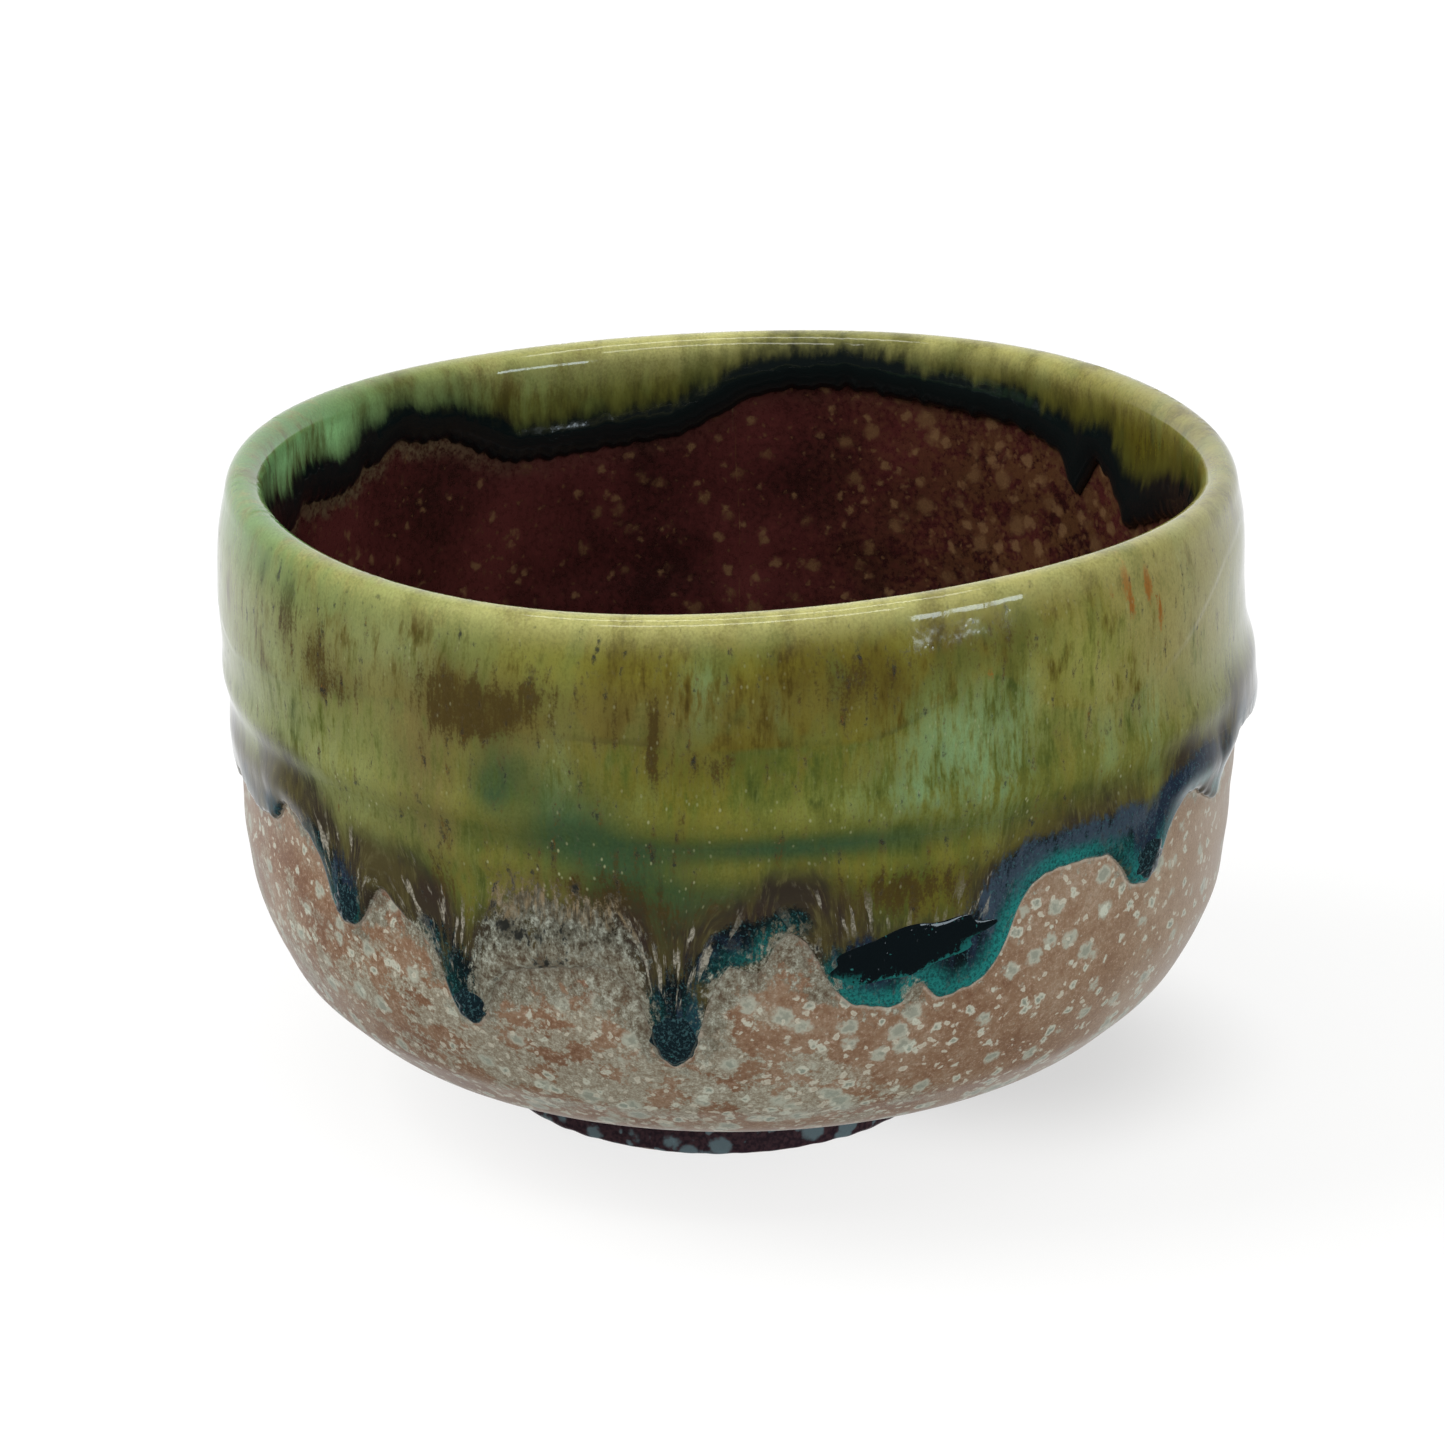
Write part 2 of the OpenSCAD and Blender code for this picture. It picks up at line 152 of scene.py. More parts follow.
# Patches in the green glaze, by colour: angle, height, half width, half height, strength
PATCHES = {
    # Pale dull green
    "sage": [(-58, 60, 22, 20, 0.9), (-36, 72, 10, 5, 0.5), (-78, 64, 14, 20, 0.8), (60, 66, 9, 14, 0.5),
        (75, 62, 12, 16, 0.8), (150, 62, 20, 12, 0.5), (-140, 66, 22, 9, 0.5)],
    # Bright yellow-green
    "leaf": [(40, 67, 9, 6, 1), (64, 64, 8, 9, 0.7), (-44, 58, 7, 6, 0.5), (8, 57, 8, 2.5, 0.5),
        (-20, 71, 6, 4, 0.5), (120, 66, 9, 6, 0.8), (-105, 62, 9, 6, 0.7), (-170, 66, 8, 6, 0.7)],
    # Milky blue-green
    "mint": [(22, 62, 6, 6, 0.9), (28, 60, 4, 6, 1), (20, 57, 10, 2.2, 0.7), (31, 65, 2, 4, 0.5),
        (-3, 70, 2.2, 3.5, 0.7), (4, 67, 1.6, 3, 0.4), (49, 60, 2.5, 6, 0.8), (42, 58, 3, 5, 0.5),
        (57, 72, 2, 6, 0.7), (-18, 60, 2, 5, 0.3), (110, 60, 8, 7, 0.8), (160, 58, 7, 6, 0.7),
        (-120, 58, 8, 6, 0.7), (-160, 63, 6, 5, 0.6), (-90, 62, 4, 7, 0.5)],
    # Brown where the glaze is thin
    "brown": [(-30.5, 67.2, 4.2, 4, 1.3), (-25.5, 66, 4, 2.6, 1), (-21, 68.5, 5, 3.5, 0.7),
        (-7.8, 65.5, 1, 5, 1), (-12, 66, 2.2, 4, 0.5), (-55, 71, 2.2, 4.5, 0.9), (-61, 74.5, 1.8, 3, 0.8),
        (-49, 67, 3, 4, 0.7), (-44, 64.5, 4, 2.5, 0.5), (-2, 62, 5, 2.2, 0.5), (12, 70, 8, 4, 0.5),
        (28, 72, 6, 3, 0.45), (-14, 46.5, 7, 3, 0.9), (-33, 44, 3.5, 4, 0.7), (1, 44.5, 4.5, 2.5, 0.8),
        (17, 46, 9, 3.2, 1), (-5, 55, 2, 3, 0.3), (-9, 42, 4.5, 4.5, 0.8), (100, 68, 8, 5, 0.7),
        (135, 55, 4, 7, 0.6), (-100, 70, 7, 5, 0.6), (-150, 55, 4, 8, 0.6), (175, 70, 9, 4, 0.6)],
    # Olive-brown
    "tan": [(-27, 66, 13, 4.6, 0.8), (-8, 67, 9, 4.2, 0.6), (-46, 66, 7, 5, 0.45), (9, 68, 8, 4, 0.35),
        (-33.5, 58.5, 3.8, 6.5, 1), (-33, 51, 3.5, 3, 0.5), (-21, 46.3, 5, 2.2, 0.9), (126, 62, 4, 7, 0.8),
        (-128, 50, 4, 6, 0.7)],
    # Deep green, where it is thick
    "deep": [(-8, 43, 6, 5.5, 1), (0, 46.5, 5, 2.6, 0.7), (-23.5, 61, 4, 3.4, 0.7),
        (-25.5, 57.5, 2.4, 2.6, 0.8), (-17, 54.5, 6.5, 5, 1), (-11, 48.5, 6, 5, 0.8),
        (2, 52.4, 16, 1.3, 0.6), (10, 52.6, 12, 1.2, 0.6), (-40, 46, 5, 3, 0.5), (90, 54, 8, 4, 0.7),
        (145, 50, 7, 4, 0.7), (-110, 52, 8, 4, 0.7), (-165, 50, 7, 4, 0.6)],
    # Rust-red streaks
    "rust": [(45.6, 75.6, 0.9, 3.4, 1), (46.6, 71.5, 0.6, 2.4, 0.7), (49.4, 73, 0.8, 2.6, 1),
        (51.2, 69.5, 0.6, 2.6, 0.8), (43.5, 74, 0.4, 1.5, 0.5), (27, 68.6, 0.5, 0.9, 0.7),
        (-110, 71, 0.8, 3, 0.8), (-113, 69, 0.6, 2, 0.7), (140, 71, 0.7, 3, 0.8)],
    # Grey and white, where the two glazes foamed up together
    "foam": [(-21.5, 44.6, 4.2, 2.6, 0.8), (-24.5, 38.6, 3.4, 4.2, 1), (-17.5, 40.2, 4.2, 4.6, 1),
        (-13.6, 39.6, 3, 5.2, 1), (-11, 34.4, 2.2, 4, 0.9), (-23, 34.2, 4.6, 3.2, 1),
        (-16, 33.2, 5.4, 3.6, 1), (-27.6, 33, 1.4, 3.4, 0.8), (-9.6, 29.5, 1.2, 2.8, 0.7),
        (-2.2, 31, 1.5, 4.6, 1), (0.4, 36.2, 3.4, 2.6, 1), (5, 39.6, 2.6, 3.4, 1),
        (8.4, 35.6, 2.2, 3.2, 0.9), (18.9, 33.8, 1.3, 1.8, 1), (-37, 37.4, 3, 2.2, 0.9),
        (-34, 33.6, 1.3, 2.8, 0.8), (-42, 39, 1.8, 3.4, 0.7), (-45, 34.4, 2.5, 1.4, 0.6),
        (-56, 44.8, 3, 2.4, 0.7), (14, 31.4, 4, 0.9, 0.5), (-146, 42, 3.4, 4, 1), (-130, 41, 2.6, 3.4, 0.9),
        (-118, 40, 2.6, 4, 0.9), (-101, 41, 2.6, 3.4, 0.8), (-86, 39, 2.4, 2.6, 0.7),
        (109.5, 41, 2.2, 4.4, 1), (122, 40, 2.4, 3.6, 0.9), (140.5, 41, 2.4, 4, 1), (154, 41, 2.8, 4, 0.9)],
    # Black holes in the foam
    "core": [(-22.4, 40.6, 1.8, 0.9, 1), (-20, 37.8, 1.4, 1.2, 0.9), (-25, 41.4, 1.2, 0.8, 0.8),
        (-17.8, 41.8, 0.9, 1.6, 0.7), (-146, 43, 2, 1.2, 1), (-118, 41, 1.4, 1.4, 0.8),
        (110, 42, 1.2, 1.6, 0.8), (141, 42, 1.4, 1.4, 0.9)],
    # Ink behind the edge
    "dark": [(-47, 38.5, 3.5, 5, 0.9), (-30.2, 32, 2.6, 5.4, 1.2), (-34, 38.6, 2.6, 2.4, 0.6),
        (-6.8, 30.5, 3.8, 6.6, 1.3), (-2.4, 38.6, 2.4, 1.8, 0.8), (1, 41.6, 3.6, 2.6, 1),
        (5.5, 44, 2.4, 2, 0.8), (12, 36, 4, 4.5, 1), (20, 36, 9, 5, 1), (28, 40, 3.5, 5.5, 1),
        (32, 46, 4, 3.4, 1), (37, 47.2, 5, 2.6, 1), (44, 47, 5, 3.2, 1), (50, 43.5, 4, 5.5, 1),
        (54, 48.5, 3.5, 3, 1), (60, 50.5, 4, 3, 0.9), (66, 48, 2.4, 4.5, 0.8), (71, 53, 3, 2.6, 0.6),
        (80, 51.5, 6, 2.4, 0.6), (-61.5, 45.5, 3, 2.6, 0.6), (-70, 45.5, 5, 3, 0.6), (-52, 44.5, 4, 3, 0.6),
        (-156, 38, 4.5, 5, 1), (-124, 32, 4, 5.5, 1), (-109, 43.6, 5, 3, 0.8), (-94.5, 38, 4, 4.5, 0.9),
        (100, 45, 6, 3, 0.9), (116, 33, 4, 5.5, 1), (130, 44.6, 7, 3, 0.9), (147, 35, 4, 5, 1),
        (165, 45, 8, 3, 0.8), (-172, 42.5, 6, 3.4, 0.9), (-139, 44.5, 5, 3, 0.8)],
    # Milky navy over the ink
    "haze": [(27, 43.5, 3.5, 4.5, 1), (32, 47, 4, 3, 1), (39, 48.6, 6, 2.4, 1), (47, 48.5, 5, 2.6, 0.9),
        (56, 50, 5, 2.6, 0.7), (-10.4, 33, 1.4, 2.2, 1), (-49, 41, 3, 3, 0.6), (-33, 36.5, 3, 2.4, 0.6),
        (100, 46, 6, 2.4, 0.8), (165, 46, 7, 2.4, 0.8), (-172, 44, 6, 2.4, 0.8)],
    # Teal along the edge
    "glow": [(16, 34.5, 11, 3.4, 1), (27, 37.5, 4, 4, 1), (30.5, 41.5, 2.6, 3.4, 1),
        (37, 46.2, 7, 1.6, 0.9), (50, 42.5, 4, 4.5, 1), (63, 47, 5, 3, 0.8), (2.4, 40.6, 2.6, 2.4, 0.6),
        (-47, 37, 2.4, 2.2, 0.4), (-156, 36.5, 4, 3, 0.9), (131, 43.6, 8, 2, 0.9), (99, 44, 8, 2, 0.8),
        (-110, 42.6, 7, 2, 0.8), (-178, 42, 9, 2.2, 0.8)],
}
# Where pale strokes in the glaze run together towards a drip: angle, height where they would meet, lowest
# and highest height where they show, and half width
STROKES = [(-47, 38, 39.5, 48, 5.5), (-30.8, 33, 35, 47, 9), (-7.2, 31.5, 34, 46.5, 8.5),
           (17, 22, 42.2, 47.5, 13), (-157, 34, 37, 46, 9), (-124, 30, 34, 47, 8), (-94.6, 36, 38, 47, 8),
           (116, 31, 34, 47, 8), (147, 33, 36, 47, 8), (172, 26, 42, 47, 12)]
# Where pale clouds cover the brown glaze
CLOUDS = [(-40, 28, 12, 8, 0.7), (-22, 27, 14, 7, 1), (-12, 20.5, 16, 6, 1), (4, 24, 9, 5, 0.9),
          (16, 18, 12, 4, 0.6), (-60, 30, 9, 14, 0.5), (-2, 33, 6, 4, 0.7), (-78, 32, 10, 12, 0.5),
          (120, 24, 14, 8, 0.8), (155, 30, 10, 6, 0.7), (-130, 26, 14, 8, 0.8), (-160, 20, 14, 6, 0.8)]
# Thick dark pools: angle, height, half width, half height, slope, thickness
POOLS = [(18.2, 39.3, 9, 2.7, 0.17, 0.45), (-6.5, 29.4, 2.7, 3.2, 0, 0.5), (-29.6, 30.4, 1.8, 2.2, 0, 0.35),
         (-46.6, 38.2, 2, 2.4, 0.1, 0.3), (50.2, 42.4, 2.4, 2.3, 0, 0.3), (-124, 32, 2.6, 3, 0, 0.45),
         (-94.6, 37.8, 2.4, 2.4, 0, 0.35), (116, 33.2, 2.6, 3.2, 0, 0.45), (147.2, 35.2, 2.6, 3, 0, 0.45)]


# ---------------------------------------------------------------- curves and fields
def smooth(x, low, high):
    """0 below low, 1 above high, and a soft step between."""
    t = np.clip((x - low) / (high - low), 0, 1)
    return t * t * (3 - 2 * t)


def catmull(points, before, after, steps=24):
    """Smooth curve through the points, without the last one."""
    p = np.array([before, *points, after], float)
    t = (np.arange(steps) / steps)[:, None]
    parts = []
    for a, b, c, d in zip(p[:-3], p[1:-2], p[2:-1], p[3:]):
        cubic = 3 * b - a - 3 * c + d
        parts.append(0.5 * (2 * b + (c - a) * t + (2 * a - 5 * b + 4 * c - d) * t ** 2 + cubic * t ** 3))
    return np.concatenate(parts)


class Section:
    """The clay's section line: places r, z and the direction out of the clay, by distance s along it."""

    def __init__(self):
        scale = np.array([CLAY_RADIUS, WALL_HEIGHT])
        lift = np.array([0, FOOT_HEIGHT])
        outer = [np.array([FOOT_RADIUS, FOOT_HEIGHT])] + [np.array(p) * scale + lift for p in OUTER_STATIONS]
        centre = outer[-1] - [LIP_RADIUS, 0]
        inner = [centre - [LIP_RADIUS, 0]] + [np.array(p) * scale + lift for p in INNER_STATIONS]
        up = np.array([0, WALL_HEIGHT / 8])
        turn = np.radians(np.arange(0, 180, 5))
        lip = centre + LIP_RADIUS * np.stack([np.cos(turn), np.sin(turn)], 1)
        line = np.concatenate([
            catmull(outer, 2 * outer[0] - outer[1], outer[-1] + up), lip,
            catmull(inner, inner[0] + up, inner[-2] * [-1, 1]), inner[-1:]])
        steps = np.linalg.norm(np.diff(line, axis=0), axis=1)
        s = np.concatenate([[0], np.cumsum(steps)])
        self.length = s[-1]
        self.s = np.linspace(0, self.length, 1200)
        self.r = np.interp(self.s, s, line[:, 0])
        self.z = np.interp(self.s, s, line[:, 1])
        dr, dz = np.gradient(self.r), np.gradient(self.z)
        size = np.hypot(dr, dz)
        self.nr, self.nz = dz / size, -dr / size
        self.nr[-1], self.nz[-1] = 0, 1
        self.lip = self.s[np.argmax(self.z)]

    def outside(self, z):
        """Distance along the line of a height on the outside."""
        part = self.s <= self.lip
        return np.interp(z, self.z[part], self.s[part])

    def inside(self, z):
        """Distance along the line of a height on the inside."""
        part = self.s >= self.lip
        return np.interp(z, self.z[part][::-1], self.s[part][::-1])


SECTION = Section()
AROUND_STEP = 0.1
AROUND = np.arange(-180, 180, AROUND_STEP)


def wobble(angle, amplitude, low, high, seed):
    """Gentle unevenness round the bowl, with between low and high waves in a full turn."""
    rng = np.random.default_rng(SEED + seed)
    waves = np.arange(low, high + 1)
    phase = rng.uniform(0, 2 * np.pi, len(waves))
    size = rng.normal(0, 1, len(waves)) / np.sqrt(len(waves))
    a = np.radians(np.asarray(angle, float))
    return amplitude * sum(k * np.sin(n * a + p) for n, p, k in zip(waves, phase, size))


def around(points, blur=0.45):
    """Values at every angle in AROUND of a smooth closed curve through (angle, value) points."""
    points = sorted(points)
    angle, value = np.array(points, float).T
    raw = np.interp(AROUND, angle, value, period=360)
    reach = np.minimum(AROUND - AROUND[0], 360 - (AROUND - AROUND[0]))
    kernel = np.exp(-0.5 * (reach / blur) ** 2)
    return np.real(np.fft.ifft(np.fft.fft(raw) * np.fft.fft(kernel / kernel.sum())))


def at(curve, angle):
    return np.interp(angle, AROUND, curve, period=360)


class EdgeField:
    """Signed distance, in millimetres over the surface, to a glaze edge: positive on the glaze."""

    STEP = 0.25
    REACH = 12.0

    def __init__(self, curve, side):
        self.count = int(round(2 * np.pi * GIRTH / self.STEP))
        self.angle = -180 + 360 * np.arange(self.count) / self.count
        edge = at(curve, self.angle)
        self.low = edge.min() - self.REACH
        rows = np.arange(self.low, edge.max() + self.REACH, self.STEP)[:, None]
        nearest = np.full((len(rows), self.count), self.REACH ** 2)
        ahead = np.roll(edge, -1)
        reach = int(self.REACH / self.STEP)
        for k in range(-reach, reach):
            y0, y1, x0 = np.roll(edge, -k), np.roll(ahead, -k), k * self.STEP
            dy = y1 - y0
            along = np.clip((-x0 * self.STEP + (rows - y0) * dy) / (self.STEP ** 2 + dy ** 2), 0, 1)
            gap = (x0 + along * self.STEP) ** 2 + (y0 + along * dy - rows) ** 2
            nearest = np.minimum(nearest, gap)
        self.values = np.sqrt(nearest) * np.sign(rows - edge) * side

    def __call__(self, angle, s):
        x = ((np.asarray(angle) + 180) % 360) / 360 * self.count
        y = np.clip((np.asarray(s) - self.low) / self.STEP, 0, len(self.values) - 1.001)
        x0, y0 = np.floor(x).astype(int), np.floor(y).astype(int)
        fx, fy = x - x0, y - y0
        x0 %= self.count
        x1 = (x0 + 1) % self.count
        v = self.values
        return ((v[y0, x0] * (1 - fx) + v[y0, x1] * fx) * (1 - fy)
                + (v[y0 + 1, x0] * (1 - fx) + v[y0 + 1, x1] * fx) * fy)


OUTER_EDGE_S = SECTION.outside(around(OUTER_EDGE)) + wobble(AROUND, 0.10, 70, 230, 1)
INNER_EDGE_S = SECTION.inside(around(INNER_EDGE)) + wobble(AROUND, 0.22, 60, 200, 2)
POOL_TOP_S = INNER_EDGE_S - 4.2 + wobble(AROUND, 0.9, 8, 40, 3)
DIP_S = SECTION.outside(around(DIP_LINE, 0.9))
RUN_TOP_S = float(SECTION.outside(RUN_TOP))
outer_edge = EdgeField(OUTER_EDGE_S, 1)
inner_edge = EdgeField(INNER_EDGE_S, -1)


def ridge_height(angle, s):
    """How far the thrown surface stands out at a place, from the ridges the fingers left."""
    z = np.interp(s, SECTION.s, SECTION.z)
    a = np.radians(angle)
    total = 0
    inside = smooth(s, SECTION.lip - 2, SECTION.lip + 2)
    for part, ridges in ((1 - inside, RIDGES), (inside, INNER_RIDGES)):
        for height, size, width, peak in ridges:
            level = height + RIDGE_CLIMB * np.sin(a + math.radians(peak))
            size_here = size * (1 + 0.45 * np.cos(a - math.radians(peak)))
            total = total + part * size_here * np.exp(-((z - level) / width) ** 2)
    z = z + 0 * angle
    for centre, height, half_width, half_height, amount in BULGES:
        x = ((angle - centre + 180) % 360 - 180) * np.pi / 180 * GIRTH
        bulge = np.exp(-(x / half_width) ** 2 - ((z - height) / half_height) ** 2)
        total = total + amount * bulge * (1 - inside)
    return total


def shoulder(s):
    """How far the wall draws in under the lip on the outside."""
    under_lip = SECTION.lip - s
    return (1 - np.clip(under_lip / 7.0, 0, 1)) ** 1.5 * smooth(under_lip, 0, 2.4)


def patches(blobs, angle, z):
    """0 to 1 mask of listed soft patches."""
    total = 0
    for centre, height, half_width, half_height, strength in blobs:
        x = ((angle - centre + 180) % 360 - 180) * np.pi / 180 * GIRTH
        total = total + strength * np.exp(-(x / half_width) ** 2 - ((z - height) / half_height) ** 2)
    return np.clip(total, 0, 1)


def place(angle, s, depth):
    """Points in metres of places on the bowl, with the hand's marks in them."""
    angle, s, depth = np.broadcast_arrays(np.asarray(angle, float), s, depth)
    a = np.radians(angle)
    over = depth + ridge_height(angle, s) - shoulder(s)
    r = np.interp(s, SECTION.s, SECTION.r) + np.interp(s, SECTION.s, SECTION.nr) * over
    z = np.interp(s, SECTION.s, SECTION.z) + np.interp(s, SECTION.s, SECTION.nz) * over
    return settle(a, np.maximum(r, 0), z)


def settle(a, r, z):
    """Turns angle in radians, radius and height into a point, with the uneven lip and the shifted foot."""
    wave = sum(sine * np.sin(n * a) + cosine * np.cos(n * a) for n, sine, cosine in LIP_WAVES)
    shift = np.interp(z, *np.array(LEAN).T)
    x = r * np.sin(a) + shift * smooth(r, 0, 20)
    return np.stack([x, -r * np.cos(a), z + wave * smooth(z, 34, LIP_HEIGHT)], -1) * MM


def top_coat_depth(angle, s, distance):
    """Thickness of the green glaze: a rolled edge, a thicker belt behind it and the second dip."""
    roll = np.sqrt(1 - (1 - np.clip(distance / 0.9, 0, 1)) ** 2)
    belt = 0.34 * np.exp(-((distance - 2.6) / 2.6) ** 2)
    dip = 0.07 * smooth(s - at(DIP_S, angle), -0.5, 0.1)
    return (TOP_COAT - 0.04 + belt + dip) * roll


# ---------------------------------------------------------------- meshes
def add_mesh(name, points, faces):
    mesh = bpy.data.meshes.new(name)
    mesh.from_pydata(points.reshape(-1, 3), [], faces)
    mesh.polygons.foreach_set("use_smooth", np.ones(len(mesh.polygons), bool))
    mesh.update()
    piece = bpy.data.objects.new(name, mesh)
    bpy.context.collection.objects.link(piece)
    return piece


def strip_faces(rows, columns, closed):
    """Quads between neighbouring rings of points, and back to the first ring if closed."""
    row = np.arange(rows if closed else rows - 1)[:, None]
    column = np.arange(columns)[None, :]
    ahead, side = (row + 1) % rows, (column + 1) % columns
    corners = [row * columns + column, row * columns + side, ahead * columns + side, ahead * columns + column]
    return np.stack(corners, -1).reshape(-1, 4)


def ring_solid(name, rings):
    """Closed solid whose rings of points go round the bowl and whose rows close on themselves."""
    rows, columns = rings.shape[:2]
    return add_mesh(name, rings, strip_faces(rows, columns, True).tolist())


def capped_solid(name, rings, first, last):
    """Closed solid of rings of points with one more point at each end."""
    rows, columns = rings.shape[:2]
    count = rows * columns
    column = np.arange(columns)
    side = (column + 1) % columns
    faces = strip_faces(rows, columns, False).tolist()
    faces += np.stack([side, column, np.full(columns, count)], 1).tolist()
    base = (rows - 1) * columns
    faces += np.stack([base + column, base + side, np.full(columns, count + 1)], 1).tolist()
    points = np.concatenate([rings.reshape(-1, 3), [first, last]])
    return add_mesh(name, points, faces)


def paint(piece, **fields):
    """Stores one number per point under each name, for the materials to read."""
    count = len(piece.data.vertices)
    for name, values in fields.items():
        flat = np.zeros(count, np.float32)
        values = np.asarray(values, np.float32).ravel()
        flat[:len(values)] = values
        flat[len(values):] = values[-1]
        piece.data.attributes.new(name, "FLOAT", "POINT").data.foreach_set("value", flat)


# Columns of points round the bowl in each piece
COLUMNS = {"clay_body": 400, "foot_ring": 420, "foot_glaze": 720, "outer_base_glaze": 840,
           "inner_base_glaze": 620, "green_glaze_band": 900, "glaze_runs": 1500, "inner_glaze_pool": 960}


def columns(count):
    return -180 + 360 * np.arange(count) / count


def finish_piece(piece, material, slot_name, *nodes):
    piece.data.materials.append(material)
    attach(piece, "root")
    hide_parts(*nodes)
    return piece


def flow_shift(angle, distance):
    """How far sideways, in millimetres, the glaze at a place has run towards its drip."""
    reach = np.fft.fftfreq(len(AROUND), AROUND_STEP)
    calm = np.real(np.fft.ifft(np.fft.fft(OUTER_EDGE_S) * np.exp(-2 * (np.pi * reach * 1.3) ** 2)))
    slope = np.gradient(calm, np.radians(AROUND_STEP) * GIRTH)
    return at(np.clip(slope, -2.5, 2.5), angle) * 2.0 * np.exp(-(np.maximum(distance, 0) / 7.0) ** 2)


def stroke_fan(angle, z):
    """Place across the strokes of the nearest drip, height over where they meet, and how much they show."""
    across, lift, shown = 0 * angle, 0 * angle, 0 * angle
    nearest = np.full(angle.shape, np.inf)
    for centre, meet, low, high, half_width in STROKES:
        x = ((angle - centre + 180) % 360 - 180) * np.pi / 180 * GIRTH
        off = np.abs(x) / half_width
        up = np.maximum(z - meet, 0) + 3
        closer = off < nearest
        nearest = np.where(closer, off, nearest)
        across = np.where(closer, x * ((low + high) / 2 - meet + 3) / up + centre, across)
        lift = np.where(closer, up, lift)
        fade = smooth(-off, -1.1, -0.6) * smooth(z, low - 1, low + 1) * smooth(-z, -high - 2, -high + 2)
        shown = np.where(closer, fade, shown)
    return across, lift, shown


def glaze_paint(piece, angle, s, distance):
    """Everything the green glaze's colour depends on."""
    z = np.interp(s, SECTION.s, SECTION.z) + 0 * angle
    outside = 1 - smooth(s, SECTION.lip - 3, SECTION.lip + 1)
    masks = {name: patches(blobs, angle, z) * outside for name, blobs in PATCHES.items()}
    cool = np.minimum(1.35 * np.exp(-((angle + 90) / 42) ** 2), 1)
    cool = cool * smooth(s, SECTION.lip - 9, SECTION.lip + 2)
    groove = np.exp(-((z - 52.0 - RIDGE_CLIMB * np.sin(np.radians(angle + 20))) / 1.5) ** 2) * outside
    # Painted shade inside the bowl: a little everywhere, most on the right and none on the left
    dim = smooth(s, SECTION.lip + 1.5, SECTION.lip + 6) * np.clip(
        0.10 + 0.20 * np.exp(-((angle - 118) / 40) ** 2) - 0.2 * np.exp(-((angle + 115) / 40) ** 2), 0, 1)
    # Paler band over the lip: partly thinner glaze, partly a painted sheen, weighted to the front and back
    # where the lip mirrors the pale room
    lip_width = 2.4 + 1.8 * np.maximum(-np.cos(np.radians(angle)), 0)
    lip = np.exp(-((s - SECTION.lip) / lip_width) ** 2) * (0.35 + 0.65 * np.cos(np.radians(angle)) ** 2)
    warm = np.exp(-((angle - 56) / 20) ** 2) * smooth(z, 54, 66) * outside
    across, lift, shown = stroke_fan(angle, z)
    paint(piece, edge=distance, ridge=ridge_height(angle, s), outside=outside, groove=groove, cool=cool,
          dip=(s - at(DIP_S, angle)) * outside + (1 - outside) * 5, height=z, dim=dim, lip=lip, warm=warm,
          inner=smooth(s, SECTION.lip + 0.5, SECTION.lip + 4.5),
          flow=flow_shift(angle, distance) * outside, across=across, lift=lift, strokes=shown * outside,
          **masks)


# ---------------------------------------------------------------- pieces
def rows_out_and_back(top, bottom):
    """Rows of an outer surface and the hidden surface under it, joined into closed rings."""
    return np.concatenate([top, bottom[::-1]])


def near_start(count, power):
    """Shares from 0 to 1 that lie closer together at the start."""
    return np.linspace(0, 1, count) ** power


def build_clay(material):
    angle = columns(COLUMNS["clay_body"])
    marks = np.radians(angle)[None, :]
    radius = np.linspace(1.5, FOOT_RADIUS - 0.5, 44)[:, None]
    spiral = 0.14 * np.sin(radius * 2.6 + marks) + 0.05 * np.sin(radius * 6.1 - marks)
    scraped = FOOT_HEIGHT + (0.35 + spiral) * smooth(radius, FOOT_RADIUS - 6, FOOT_RADIUS - 9)
    under = settle(marks + 0 * radius, radius + 0 * marks, scraped)
    s = np.linspace(0, SECTION.length - 0.8, 180)[:, None]
    wall = place(angle[None, :], s, 0.0)
    bottom = settle(0.0, 0.0, FOOT_HEIGHT + 0.35)
    middle = settle(0.0, 0.0, SECTION.z[-1])
    piece = capped_solid("clay_wall", np.concatenate([under, wall]), bottom, middle)
    return finish_piece(piece, material, "stoneware", "clay_body")


def build_foot_ring(material):
    angle = np.radians(columns(COLUMNS["foot_ring"]))[None, :]
    inner = FOOT_RADIUS - FOOT_RING_WIDTH
    turn = np.radians(np.linspace(0, 90, 9))
    outline = [(FOOT_RADIUS - FOOT_EDGE + FOOT_EDGE * math.sin(t), FOOT_EDGE - FOOT_EDGE * math.cos(t))
               for t in turn]
    outline += [(FOOT_RADIUS, z) for z in np.linspace(FOOT_EDGE, FOOT_HEIGHT, 12)[1:]]
    outline += [(r, FOOT_HEIGHT) for r in (FOOT_RADIUS - 0.05, inner + 0.05)]
    outline += [(inner, z) for z in np.linspace(FOOT_HEIGHT, FOOT_EDGE, 12)]
    outline += [(inner + FOOT_EDGE - FOOT_EDGE * math.sin(t), FOOT_EDGE - FOOT_EDGE * math.cos(t))
                for t in turn[::-1][1:]]
    outline += [(r, 0) for r in np.linspace(inner + FOOT_EDGE, FOOT_RADIUS - FOOT_EDGE, 8)[1:-1]]
    r, z = np.array(outline).T[:, :, None]
    cut = 0.12 * np.sin(3 * angle + 1) + 0.08 * np.sin(7 * angle)
    hollow = smooth(FOOT_RADIUS - r, 1.5, 4.5)
    wear = 0.06 * (np.sin(11 * angle + 2) + np.sin(17 * angle)) * smooth(FOOT_EDGE - z, 0, FOOT_EDGE)
    rings = settle(angle + 0 * r, r + cut * hollow, z + np.maximum(wear, 0) + 0 * angle)
    return finish_piece(ring_solid("foot_ring_turned", rings), material, "foot_clay", "foot_ring")


